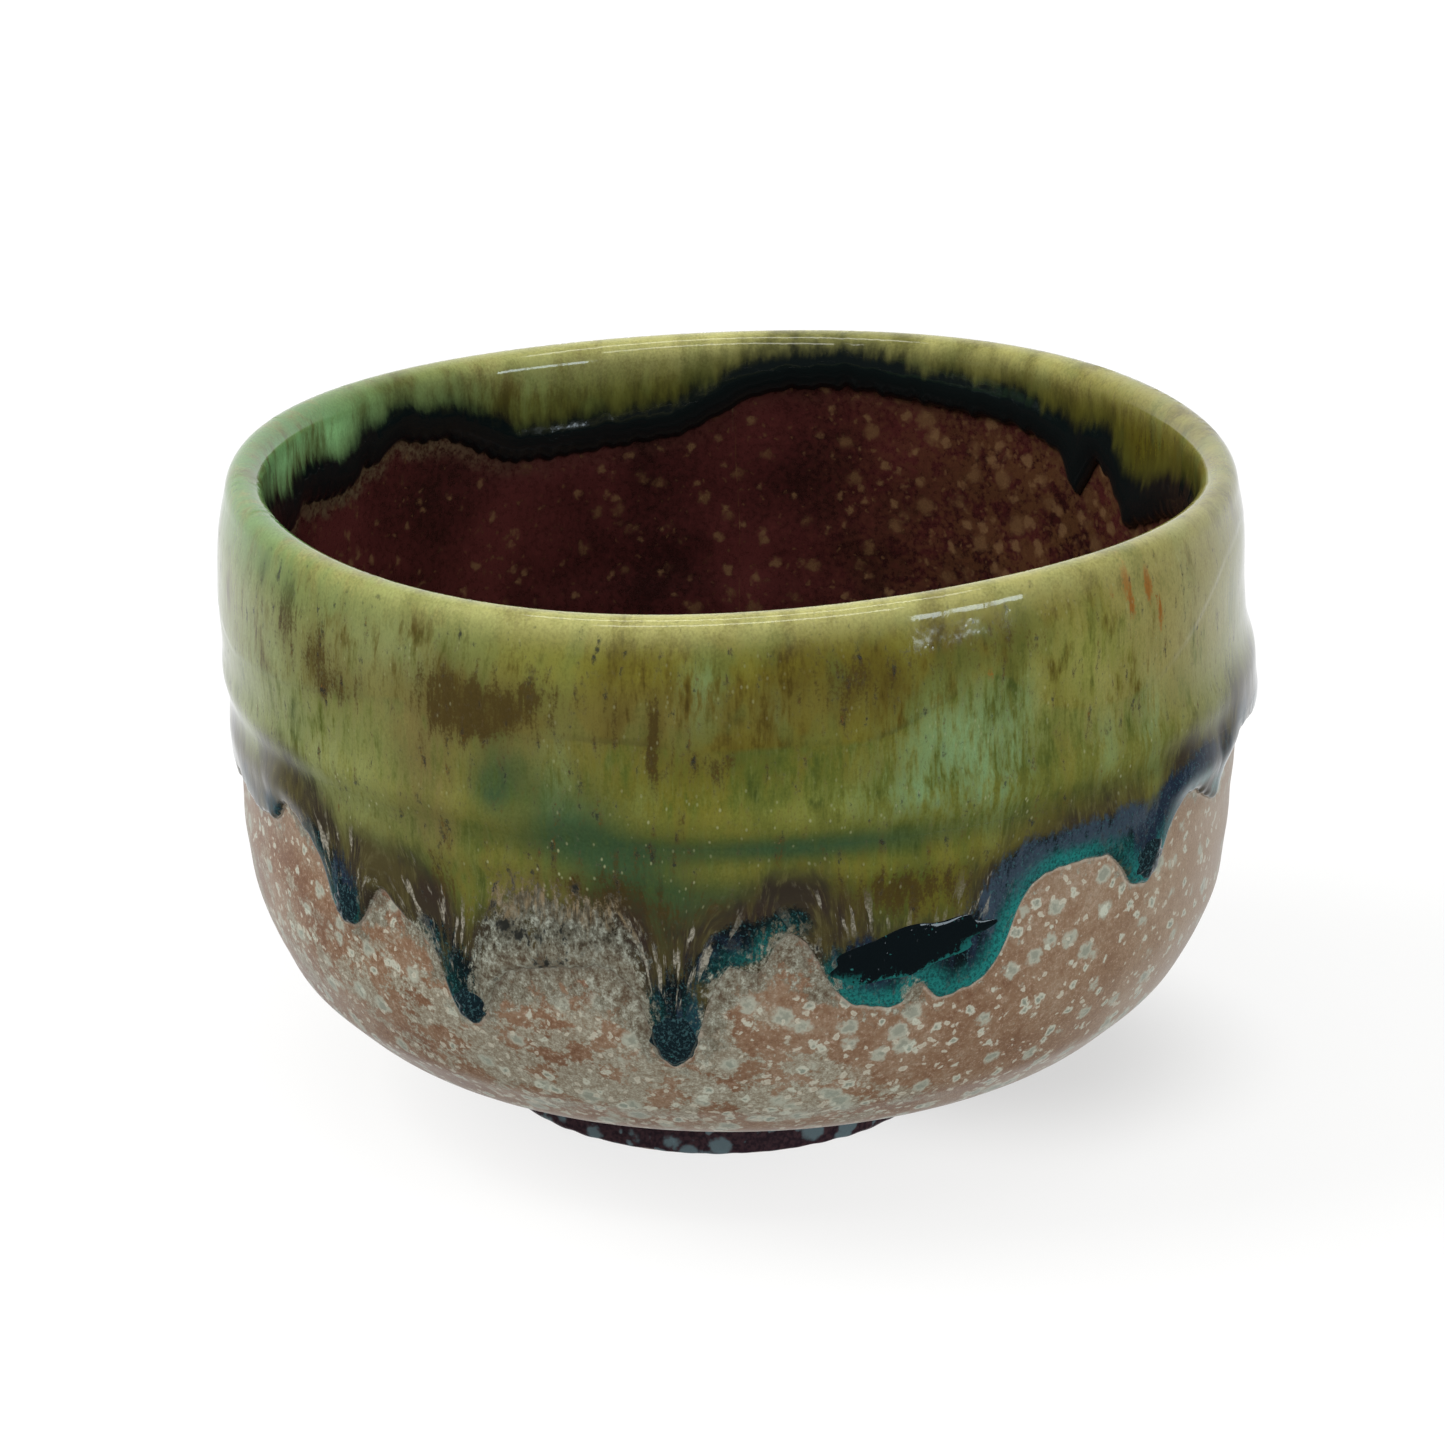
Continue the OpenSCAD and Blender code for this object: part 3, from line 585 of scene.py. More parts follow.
def build_foot_wash(material):
    angle = columns(COLUMNS["foot_glaze"])[None, :]
    a = np.radians(angle)
    low = 0.30 + wobble(angle, 0.12, 8, 60, 11)
    share = np.concatenate([near_start(10, 1.6) * 0.3, np.linspace(0.3, 1, 14)[1:]])[:, None]
    z = low + (FOOT_HEIGHT - 0.1 - low) * share
    turned = np.maximum(FOOT_EDGE - z, 0)
    edge_radius = FOOT_RADIUS - FOOT_EDGE + np.sqrt(np.maximum(FOOT_EDGE ** 2 - turned ** 2, 0))
    roll = np.sqrt(1 - (1 - np.clip((z - low) / 0.5, 0, 1)) ** 2)
    uneven = 0.04 * wobble(angle, 1.0, 10, 50, 12) * roll
    top = settle(a + 0 * z, edge_radius + WASH * roll + uneven, z)
    bottom = settle(a + 0 * z, edge_radius - 0.15, z)[[0, 6, 14, -1]]
    rings = rows_out_and_back(top, bottom)
    return finish_piece(ring_solid("foot_wash", rings), material, "foot_wash", "foot_glaze")


def build_outer_base(material):
    angle = columns(COLUMNS["outer_base_glaze"])[None, :]
    shown = float(SECTION.outside(52.0))
    low = np.linspace(0.0, shown, 92)[:, None]
    high = np.linspace(shown, SECTION.lip, 8)[1:, None]
    s = np.concatenate([low, high])
    edge = outer_edge(angle, s)
    # The base glaze swells into a thin welt along the edge of the green glaze, and rolls over the foot
    welt = 0.10 * np.exp(-((edge + 0.35) / 0.4) ** 2)
    roll = np.sqrt(1 - (1 - np.clip((s + 0.12) / 0.9, 0, 1)) ** 2)
    z = np.interp(s, SECTION.s, SECTION.z) + 0 * angle
    foam = patches(PATCHES["foam"], angle, z)
    depth = BASE_COAT * roll + welt + 0.06 * (foam * smooth(edge, -4, -1))
    top = place(angle, s, depth)
    hidden = np.concatenate([s[:90:8], s[-1:]])
    rings = rows_out_and_back(top, place(angle, hidden, 0.03))
    piece = ring_solid("speckled_outer_glaze", rings)
    paint(piece, edge=edge, foam=foam, clouds=patches(CLOUDS, angle, z), height=z, angle=angle / 180 + 0 * s)
    return finish_piece(piece, material, "speckled_brown_glaze", "outer_base_glaze")


def build_inner_base(material):
    angle = columns(COLUMNS["inner_base_glaze"])[None, :]
    first = float(SECTION.inside(74.0))
    hidden_top = np.linspace(SECTION.lip, first, 5)[:-1, None]
    s = np.concatenate([hidden_top, np.linspace(first, SECTION.length - 1.0, 118)[:, None]])
    edge = inner_edge(angle, s)
    top = place(angle, s, BASE_COAT + 0.05 * np.exp(-((edge + 0.3) / 0.4) ** 2))
    # The solid closes through its hidden side, so the pole in the middle is a small disc
    bottom = place(angle, s[::8], 0.03)
    rings = np.concatenate([bottom[::-1], top])
    middle = SECTION.z[-1]
    piece = capped_solid("speckled_inner_glaze", rings, settle(0.0, 0.0, middle + 0.03),
                         settle(0.0, 0.0, middle + BASE_COAT))
    count = len(bottom) * angle.size
    z = np.interp(s, SECTION.s, SECTION.z) + 0 * angle
    pad = np.zeros(count)
    fields = {"edge": edge, "height": z, "angle": angle / 180 + 0 * s}
    paint(piece, **{name: np.concatenate([pad, values.ravel()]) for name, values in fields.items()})
    return finish_piece(piece, material, "dark_inner_glaze", "inner_base_glaze")


def glaze_distance(angle, s):
    """Distance to the green glaze's nearest edge, outside or inside."""
    return np.where(s < SECTION.lip, outer_edge(angle, s), inner_edge(angle, s))


def glaze_surface(name, angle, s, hidden_rows):
    """Closed solid of green glaze over rows of places, painted for its material."""
    angle = angle + 0 * s
    distance = glaze_distance(angle, s)
    inside = smooth(s, SECTION.lip, SECTION.lip + 3)
    pooled = 0.30 * inside * np.exp(-((distance - 2.4) / 2.2) ** 2) * smooth(distance, 0, 1.2)
    top = place(angle, s, BASE_COAT + top_coat_depth(angle, s, np.maximum(distance, 0)) + pooled)
    bottom = place(angle[hidden_rows], s[hidden_rows], BASE_COAT - 0.07)
    piece = ring_solid(name, rows_out_and_back(top, bottom))
    glaze_paint(piece, angle, s, distance)
    return piece


def build_green_band(material):
    angle = columns(COLUMNS["green_glaze_band"])[None, :]
    low, high = RUN_TOP_S, at(POOL_TOP_S, angle)
    edge_rows = [0, 0.02, 0.6]
    shares = np.linspace(0, 1, 84)[1:-1, None]
    s = np.concatenate([low + np.array(edge_rows)[:, None] + 0 * angle,
                        low + 0.6 + (high - low - 1.2) * shares,
                        high - np.array(edge_rows[::-1])[:, None]])
    piece = glaze_surface("green_glaze_coat", angle, s, np.r_[0:len(s):8, len(s) - 1])
    return finish_piece(piece, material, "green_glaze", "green_glaze_band")


def run_columns(count):
    """Angles for the runs, closer together where the edge is steep."""
    edge = np.append(OUTER_EDGE_S, OUTER_EDGE_S[0])
    across = np.radians(AROUND_STEP) * GIRTH
    length = np.hypot(across, np.diff(edge)) + across
    total = np.concatenate([[0], np.cumsum(length)])
    return np.interp(np.arange(count) / count * total[-1], total, np.append(AROUND, 180))


def build_runs(material):
    angle = run_columns(COLUMNS["glaze_runs"])[None, :]
    low, high = at(OUTER_EDGE_S, angle), RUN_TOP_S
    s = low + (high - 0.02 - low) * near_start(46, 1.7)[:, None]
    s = np.concatenate([s, high + 0 * angle])
    piece = glaze_surface("green_glaze_drips", angle, s, np.r_[0, 8, 16, 24, 32, 40, len(s) - 1])
    return finish_piece(piece, material, "run_glaze", "glaze_runs")


def build_inner_pool(material):
    angle = columns(COLUMNS["inner_glaze_pool"])[None, :]
    low, high = at(POOL_TOP_S, angle), at(INNER_EDGE_S, angle)
    s = high - (high - low - 0.02) * near_start(28, 1.5)[:, None]
    s = np.concatenate([s, low])[::-1]
    piece = glaze_surface("inner_pool_ring", angle, s, np.r_[0:len(s):6, len(s) - 1])
    return finish_piece(piece, material, "inner_pooled_glaze", "inner_glaze_pool")


def build_pools(material):
    """Low lenses of extra glaze on the runs, with uneven outlines."""
    turn_steps, ring_steps = 96, 14
    turn = 360 * np.arange(turn_steps) / turn_steps
    share = np.sin(np.linspace(0.08, 1, ring_steps) * np.pi / 2)[:, None]
    points, faces, fields = [], [], {"depth": [], "black": [], "low": []}
    for index, (centre, height, half_width, half_height, slope, thickness) in enumerate(POOLS):
        uneven = 1 + wobble(turn, 0.10, 2, 9, 40 + index)
        x = np.cos(np.radians(turn)) * uneven * half_width
        y = np.sin(np.radians(turn)) * uneven * half_height + x * slope
        angle = centre + np.degrees(x * share / GIRTH)
        s = SECTION.outside(height) + y * share
        base = BASE_COAT + top_coat_depth(angle, s, np.maximum(outer_edge(angle, s), 0))
        lens = thickness * (1 - share ** 2) ** 0.8
        top = place(angle, s, base + lens)
        bottom = place(angle, s, base - 0.12)
        centres = [place(centre, SECTION.outside(height), base[0].mean() + level)
                   for level in (thickness, -0.12)]
        rings = np.concatenate([top, bottom[::-1]])
        count, first = len(rings) * turn_steps, sum(len(p) for p in points)
        strip = strip_faces(len(rings), turn_steps, False)[:, ::-1] + first
        column = np.arange(turn_steps)
        side = (column + 1) % turn_steps
        last = (len(rings) - 1) * turn_steps
        caps = [np.stack([column, side, np.full(turn_steps, count)], 1),
                np.stack([last + side, last + column, np.full(turn_steps, count + 1)], 1)]
        faces += strip.tolist() + [f for cap in caps for f in (cap + first).tolist()]
        points.append(np.concatenate([rings.reshape(-1, 3), centres]))
        depth = np.concatenate([np.broadcast_to(lens / thickness, angle.shape).ravel(),
                                np.zeros(angle.size), [1, 0]])
        fields["depth"].append(depth)
        low = -np.sin(np.radians(turn)) * share + 0 * angle
        fields["low"].append(np.concatenate([low.ravel(), np.zeros(low.size + 2)]))
        fields["black"].append(np.full(len(depth), min(half_width / 9, 1) ** 2))
    piece = add_mesh("drip_pools", np.concatenate(points), faces)
    paint(piece, **{name: np.concatenate(values) for name, values in fields.items()})
    return finish_piece(piece, material, "pooled_glaze", "glaze_run_pools")


# ---------------------------------------------------------------- materials
class Signal:
    """Output of a node, with arithmetic."""

    def __init__(self, graph, socket):
        self.graph, self.socket = graph, socket

    def __add__(self, other):
        return self.graph.calc("ADD", self, other)

    def __sub__(self, other):
        return self.graph.calc("SUBTRACT", self, other)

    def __rsub__(self, other):
        return self.graph.calc("SUBTRACT", other, self)

    def __mul__(self, other):
        return self.graph.calc("MULTIPLY", self, other)

    __radd__ = __add__
    __rmul__ = __mul__


class Graph:
    """A Principled material and short names for the nodes that feed it. Lengths are in millimetres."""

    def __init__(self, name, roughness, specular=0.5):
        self.material = bpy.data.materials.new(name)
        self.material.use_nodes = True
        self.tree = self.material.node_tree
        self.shader = self.tree.nodes["Principled BSDF"]
        self.shader.inputs["Roughness"].default_value = roughness
        self.shader.inputs["Specular IOR Level"].default_value = specular
        self.origin = self.add("ShaderNodeTexCoord").outputs["Object"]

    def add(self, kind, **settings):
        node = self.tree.nodes.new(kind)
        for name, value in settings.items():
            setattr(node, name, value)
        return node

    def feed(self, socket, value):
        if isinstance(value, Signal):
            value = value.socket
        if isinstance(value, bpy.types.NodeSocket):
            self.tree.links.new(value, socket)
        else:
            socket.default_value = (*value, 1) if isinstance(value, tuple) and len(value) == 3 \
                and len(socket.default_value) == 4 else value

    def vector(self, operation, a, b, scale=None):
        node = self.add("ShaderNodeVectorMath", operation=operation)
        self.feed(node.inputs[0], a)
        if b is not None:
            self.feed(node.inputs[1], b)
        if scale is not None:
            self.feed(node.inputs["Scale"], scale)
        return node.outputs[0]

    def bend(self, shift):
        """Moves every later pattern round the bowl by a number of millimetres."""
        around_bowl = self.vector("CROSS_PRODUCT", (0.0, 0.0, 1.0), self.origin)
        push = self.vector("SCALE", around_bowl, None, shift * (1 / GIRTH))
        self.origin = self.vector("ADD", self.origin, push)

    def stretch(self, shares, shift=(0, 0, 0)):
        """The place on the bowl in millimetres, squeezed along an axis to draw a pattern out along it."""
        node = self.add("ShaderNodeMapping")
        self.tree.links.new(self.origin, node.inputs["Vector"])
        node.inputs["Scale"].default_value = [share / MM for share in shares]
        node.inputs["Location"].default_value = shift
        return node.outputs["Vector"]

    def calc(self, operation, a, b=0.0):
        node = self.add("ShaderNodeMath", operation=operation)
        self.feed(node.inputs[0], a)
        self.feed(node.inputs[1], b)
        return Signal(self, node.outputs[0])

    def field(self, name):
        """A number painted on the mesh."""
        node = self.add("ShaderNodeAttribute", attribute_name=name)
        return Signal(self, node.outputs["Fac"])

    def noise(self, size, stretch=1.0, detail=3.0, rough=0.55, seed=0.0):
        """Noise around 0.5 whose features are size wide and stretch times as tall."""
        node = self.add("ShaderNodeTexNoise")
        vector = self.stretch((1, 1, 1 / stretch), (seed * 37, seed * 17, seed * 53))
        self.tree.links.new(vector, node.inputs["Vector"])
        node.inputs["Scale"].default_value = 1 / size
        node.inputs["Detail"].default_value = detail
        node.inputs["Roughness"].default_value = rough
        return Signal(self, node.outputs[0])

    def fan_noise(self, across, along, detail, rough):
        """Noise around 0.5 over two painted numbers, already scaled to the size of the pattern."""
        node, join = self.add("ShaderNodeTexNoise"), self.add("ShaderNodeCombineXYZ")
        self.feed(join.inputs["X"], across)
        self.feed(join.inputs["Y"], along)
        self.tree.links.new(join.outputs[0], node.inputs["Vector"])
        node.inputs["Scale"].default_value = 1
        node.inputs["Detail"].default_value = detail
        node.inputs["Roughness"].default_value = rough
        return Signal(self, node.outputs[0])

    def cells(self, size, stretch=1.0, seed=0.0, warp=None, warp_size=0.0):
        """Distance, in shares of size, to the nearest of scattered points."""
        node = self.add("ShaderNodeTexVoronoi")
        vector = self.stretch((1, 1, 1 / stretch), (seed * 31, seed * 19, seed * 43))
        if warp is not None:
            shake = self.add("ShaderNodeTexNoise")
            self.tree.links.new(vector, shake.inputs["Vector"])
            shake.inputs["Scale"].default_value = 1 / warp
            push = self.add("ShaderNodeVectorMath", operation="MULTIPLY_ADD")
            self.tree.links.new(shake.outputs["Color"], push.inputs[0])
            push.inputs[1].default_value = (warp_size,) * 3
            self.tree.links.new(vector, push.inputs[2])
            vector = push.outputs[0]
        self.tree.links.new(vector, node.inputs["Vector"])
        node.inputs["Scale"].default_value = 1 / size
        return Signal(self, node.outputs["Distance"])

    def ramp(self, value, *stops):
        """Colour by value, smooth between (value, colour) stops."""
        node = self.add("ShaderNodeValToRGB")
        self.feed(node.inputs["Fac"], value)
        band = node.color_ramp
        while len(band.elements) < len(stops):
            band.elements.new(0.5)
        for element, (position, colour) in zip(band.elements, stops):
            element.position, element.color = position, (*colour, 1)
        return Signal(self, node.outputs["Color"])

    def step(self, value, low, high):
        """0 at low, 1 at high and smooth between; low may be the greater."""
        node = self.add("ShaderNodeMapRange", interpolation_type="SMOOTHSTEP")
        flip = low > high
        self.feed(node.inputs["Value"], value)
        node.inputs["From Min"].default_value = min(low, high)
        node.inputs["From Max"].default_value = max(low, high)
        node.inputs["To Min"].default_value = 1.0 if flip else 0.0
        node.inputs["To Max"].default_value = 0.0 if flip else 1.0
        return Signal(self, node.outputs["Result"])

    def mix(self, factor, a, b):
        node = self.add("ShaderNodeMix", data_type="RGBA")
        sockets = [socket for socket in node.inputs if socket.type == "RGBA"]
        self.feed(node.inputs[0], factor)
        self.feed(sockets[0], a)
        self.feed(sockets[1], b)
        output = [socket for socket in node.outputs if socket.type == "RGBA"][0]
        return Signal(self, output)

    def shade(self, colour, amount):
        """A colour multiplied by a number."""
        node = self.add("ShaderNodeVectorMath", operation="SCALE")
        self.feed(node.inputs[0], colour)
        self.feed(node.inputs["Scale"], amount)
        return Signal(self, node.outputs[0])

    def finish(self, colour, roughness=None, height=None, depth=0.1):
        """Joins colour, roughness and bump, whose height from 0 to 1 is depth millimetres, to the shader."""
        self.feed(self.shader.inputs["Base Color"], colour)
        if roughness is not None:
            self.feed(self.shader.inputs["Roughness"], roughness)
        if height is not None:
            bump = self.add("ShaderNodeBump")
            bump.inputs["Distance"].default_value = depth * MM
            self.feed(bump.inputs["Height"], height)
            self.tree.links.new(bump.outputs["Normal"], self.shader.inputs["Normal"])
        return self.material


MINT_COLOUR, SAGE_COLOUR, DEEP_COLOUR = (0.130, 0.215, 0.095), (0.175, 0.200, 0.088), (0.024, 0.052, 0.022)
LEAF_COLOUR = (0.160, 0.168, 0.034)
BROWN_COLOUR, TAN_COLOUR, RUST_COLOUR = (0.038, 0.024, 0.006), (0.118, 0.094, 0.032), (0.17, 0.068, 0.012)
# The pale lip colour is partly thinner glaze and partly a painted sheen
THIN_LIP_AND_SHEEN, COOL_LIP, COOL_INSIDE = (0.34, 0.325, 0.125), (0.072, 0.160, 0.052), (0.28, 0.58, 0.24)
WARM_COLOUR = (0.235, 0.200, 0.075)
RUN_BROWN, RUN_PLUM, FUR = (0.040, 0.030, 0.012), (0.022, 0.014, 0.012), (0.27, 0.25, 0.20)
NAVY, TEAL_COLOUR, INK = (0.028, 0.042, 0.060), (0.010, 0.140, 0.125), (0.002, 0.004, 0.005)
FOAM_TAN, HALO = (0.185, 0.130, 0.066), (0.36, 0.30, 0.235)


def froth_colour(g, froth, grain):
    """Grey and white foam with dark pits, as it is in the green glaze."""
    return g.ramp(froth * 0.75 + grain * 0.25, (0.40, (0.018, 0.018, 0.012)),
                  (0.465, (0.066, 0.062, 0.043)), (0.53, (0.118, 0.120, 0.092)), (0.61, (0.26, 0.275, 0.225)))


def dry_froth_colour(g, froth, grain):
    """The same foam with brown pits, as it is on the base glaze."""
    return g.ramp(froth * 0.75 + grain * 0.25, (0.41, (0.068, 0.045, 0.026)),
                  (0.475, (0.118, 0.102, 0.069)), (0.54, (0.175, 0.170, 0.128)), (0.62, (0.31, 0.32, 0.26)))


def green_glaze(name):
    """The green glaze: streaked olive over green, darker and teal towards its edge."""
    g = Graph(name, 0.08, specular=0.5)
    grain = g.noise(0.30, 1.2, 2, 0.6, seed=5)
    specks = g.noise(0.32, 1.2, 3, 0.7, seed=8)
    froth_noise = g.noise(0.8, 1.4, 6, 0.75, seed=11)
    g.bend(g.field("flow"))
    fibre = g.noise(0.45, 6, 4, 0.6, seed=1)
    streak = g.noise(1.3, 4, 4, 0.6, seed=2)
    wide = g.noise(4.2, 2.0, 4, 0.55, seed=3)
    blotch = g.noise(12, 1.2, 3, 0.5, seed=4)
    outside, edge, dip, height = g.field("outside"), g.field("edge"), g.field("dip"), g.field("height")
    ridge = g.field("ridge")
    weave = fibre * 0.26 + streak * 0.40 + wide * 0.34
    cloth = streak * 0.32 + wide * 0.38 + blotch * 0.30

    upper = g.ramp(weave, (0.37, (0.042, 0.028, 0.004)), (0.45, (0.071, 0.054, 0.006)),
                   (0.52, (0.098, 0.084, 0.008)), (0.60, (0.130, 0.120, 0.016)),
                   (0.69, (0.185, 0.177, 0.046)))
    greener = g.step(g.noise(6, 1.6, 3, 0.55, seed=12), 0.50, 0.62) * 0.45
    upper = g.mix(greener, upper, (0.075, 0.105, 0.024))
    lower = g.ramp(cloth, (0.38, (0.038, 0.052, 0.010)), (0.46, (0.068, 0.080, 0.012)),
                   (0.53, (0.102, 0.092, 0.012)), (0.60, (0.120, 0.124, 0.024)),
                   (0.68, (0.155, 0.165, 0.048)))
    lower = g.mix(g.step(fibre, 0.50, 0.68) * 0.25, lower, (0.150, 0.168, 0.048))
    lower = g.mix(g.step(fibre, 0.46, 0.32) * 0.35, lower, (0.050, 0.052, 0.009))
    dipped = g.step(dip + (streak - 0.5) * 0.5, -0.3, 0.5)
    colour = g.mix(dipped, lower, upper)
    line = g.step(dip + (streak - 0.5) * 0.5, -0.2, 0.15) * g.step(dip + (streak - 0.5) * 0.6, 1.0, 0.2)
    colour = g.mix(line * g.step(blotch, 0.40, 0.62) * 0.6, colour, (0.040, 0.040, 0.007))
    # Thin and yellow on the ridges, pooled dark in the groove between them
    colour = g.mix(g.step(ridge, 0.16, 0.46) * g.step(height, 60, 58) * 0.3, colour, (0.140, 0.132, 0.024))
    colour = g.mix(g.field("groove") * (cloth - 0.2) * 1.3, colour, (0.036, 0.046, 0.011))

    for field, shade, low, high in (("leaf", LEAF_COLOUR, 0.34, 0.54), ("sage", SAGE_COLOUR, 0.34, 0.56),
                                    ("deep", DEEP_COLOUR, 0.24, 0.52), ("tan", TAN_COLOUR, 0.28, 0.60),
                                    ("mint", MINT_COLOUR, 0.42, 0.60)):
        colour = g.mix(g.field(field) * g.step(weave, low, high) * 0.92, colour, shade)
    colour = g.mix(g.field("warm") * g.step(cloth, 0.36, 0.54) * 0.7, colour, WARM_COLOUR)
    rough_streak = (fibre - 0.5) * 1.5 + (streak - 0.5) * 3.0 + (grain - 0.5) * 1.8
    brown = g.step(g.field("brown") + rough_streak * 0.8, 0.10, 1.0)
    colour = g.mix(brown * 0.92, colour, BROWN_COLOUR)
    colour = g.mix(g.step(g.field("rust") + rough_streak * 0.5, 0.30, 0.85) * 0.95, colour, RUST_COLOUR)
    # The lip paler, from thinner glaze and a painted sheen
    lip = g.field("lip") * (g.step(wide + (grain - 0.5) * 0.2, 0.30, 0.58) * 0.45 + 0.55)
    colour = g.mix(lip * 0.85, colour, THIN_LIP_AND_SHEEN)
    cool = g.mix(g.field("inner"), COOL_LIP, COOL_INSIDE)
    colour = g.mix(g.field("cool") * g.step(cloth, 0.34, 0.56) * 0.92, colour, cool)
    # Many fine pale crystals
    flecks = g.step(g.cells(0.9, 1.6, seed=5), 0.22, 0.06) * g.step(g.noise(6, 1, 2, seed=6), 0.42, 0.60)
    flecks = flecks * (g.step(height, 60, 54) * 0.35 + 0.25)
    colour = g.mix(flecks * outside, colour, (0.27, 0.28, 0.15))
    colour = g.shade(colour, (grain - 0.5) * 0.7 + 1.0)

    # Inside, the glaze darkens quickly to black over its edge
    inner = 1 - outside
    # Painted shade inside the bowl, darker on the right
    colour = g.mix(g.field("dim"), colour, (0.020, 0.021, 0.004))
    reach_in = edge + (wide - 0.5) * 4.0 + (streak - 0.5) * 2.6
    colour = g.mix(g.step(reach_in, 10.0, 5.8) * inner * 0.6, colour, (0.040, 0.043, 0.009))
    colour = g.mix(g.step(reach_in, 6.8, 4.0) * inner, colour, (0.003, 0.005, 0.005))

    # Outside, brown above the drips, then ink and teal at the edge
    reach = edge + (wide - 0.5) * 5.0 + (streak - 0.5) * 3.0
    tone = g.mix(g.step(wide + (fibre - 0.5) * 0.4, 0.40, 0.60), RUN_PLUM, RUN_BROWN)
    tone = g.mix(g.step(fibre, 0.52, 0.70) * 0.5, tone, (0.085, 0.072, 0.032))
    colour = g.mix(g.step(reach, 10.5, 5.0) * outside * 0.9, colour, tone)
    dark = g.step(g.field("dark") + (streak - 0.5) * 0.9 + (grain - 0.5) * 0.4, 0.25, 0.60)
    inky = g.mix(g.step(blotch + (streak - 0.5) * 0.5, 0.44, 0.58), INK, (0.008, 0.014, 0.026))
    haze = g.field("haze") + (streak - 0.5) * 2.4 + (grain - 0.5) * 1.2 + (froth_noise - 0.5) * 1.5
    haze = g.step(haze, 0.30, 1.1)
    inky = g.mix(haze * 0.9, inky, NAVY)
    inky = g.mix(g.step(specks, 0.55, 0.66) * 0.6, inky, (0.030, 0.085, 0.090))
    low_reach = edge + (grain - 0.5) * 1.4 + (streak - 0.5) * 2.6 + (specks - 0.5) * 1.6
    teal_tone = g.mix(g.step(specks, 0.36, 0.58), (0.006, 0.050, 0.050), TEAL_COLOUR)
    glow = g.field("glow") * 0.85 + 0.15
    inky = g.mix(g.step(low_reach, 3.8, 1.2) * glow, inky, teal_tone)
    colour = g.mix(dark * g.step(reach, 9.0, 6.0) * outside, colour, inky)
    # Pale strokes that run together into each drip
    hair = g.fan_noise(g.field("across") * 0.85, g.field("lift") * 0.16, 3, 0.55)
    stroke = g.step(hair + (fibre - 0.5) * 0.25, 0.56, 0.62) * g.field("strokes")
    stroke = stroke * g.step(edge + (streak - 0.5) * 3.0, 0.6, 1.8)
    stroke = stroke * g.step(edge + (wide - 0.5) * 5.0, 10.0, 6.0)
    colour = g.mix(stroke * 0.8, colour, g.mix(g.step(grain, 0.40, 0.60), (0.11, 0.10, 0.075), FUR))
    foam = g.step(g.field("foam") + (froth_noise - 0.5) * 2.4 + (streak - 0.5) * 1.6, 0.20, 0.72) * outside
    froth = g.mix(g.step(edge + (streak - 0.5) * 4, 4.5, 0.8), froth_colour(g, froth_noise, grain),
                  dry_froth_colour(g, froth_noise, grain))
    froth = g.mix(g.step(height + (streak - 0.5) * 14, 41.0, 45.0) * 0.75, froth,
                  g.mix(g.step(fibre, 0.44, 0.60), (0.050, 0.036, 0.018), FOAM_TAN))
    core = g.field("core") + (froth_noise - 0.5) * 4 + (streak - 0.5) * 3
    froth = g.mix(g.step(core, 0.35, 0.85), froth, (0.012, 0.013, 0.011))
    colour = g.mix(foam * 0.95, colour, froth)
    rim = g.step(edge + (grain - 0.5) * 0.25, 0.16, 0.02) * outside * (1 - foam)
    colour = g.mix(rim * 0.6, colour, HALO)

    roughness = 0.07 + foam * 0.25
    ripple = g.noise(1.6, 1.6, 2, 0.5, seed=9) * 0.5 + g.noise(7, 1, 1, 0.4, seed=10) * 1.4 + flecks * 0.3
    return g.finish(colour, roughness, ripple, 0.045)


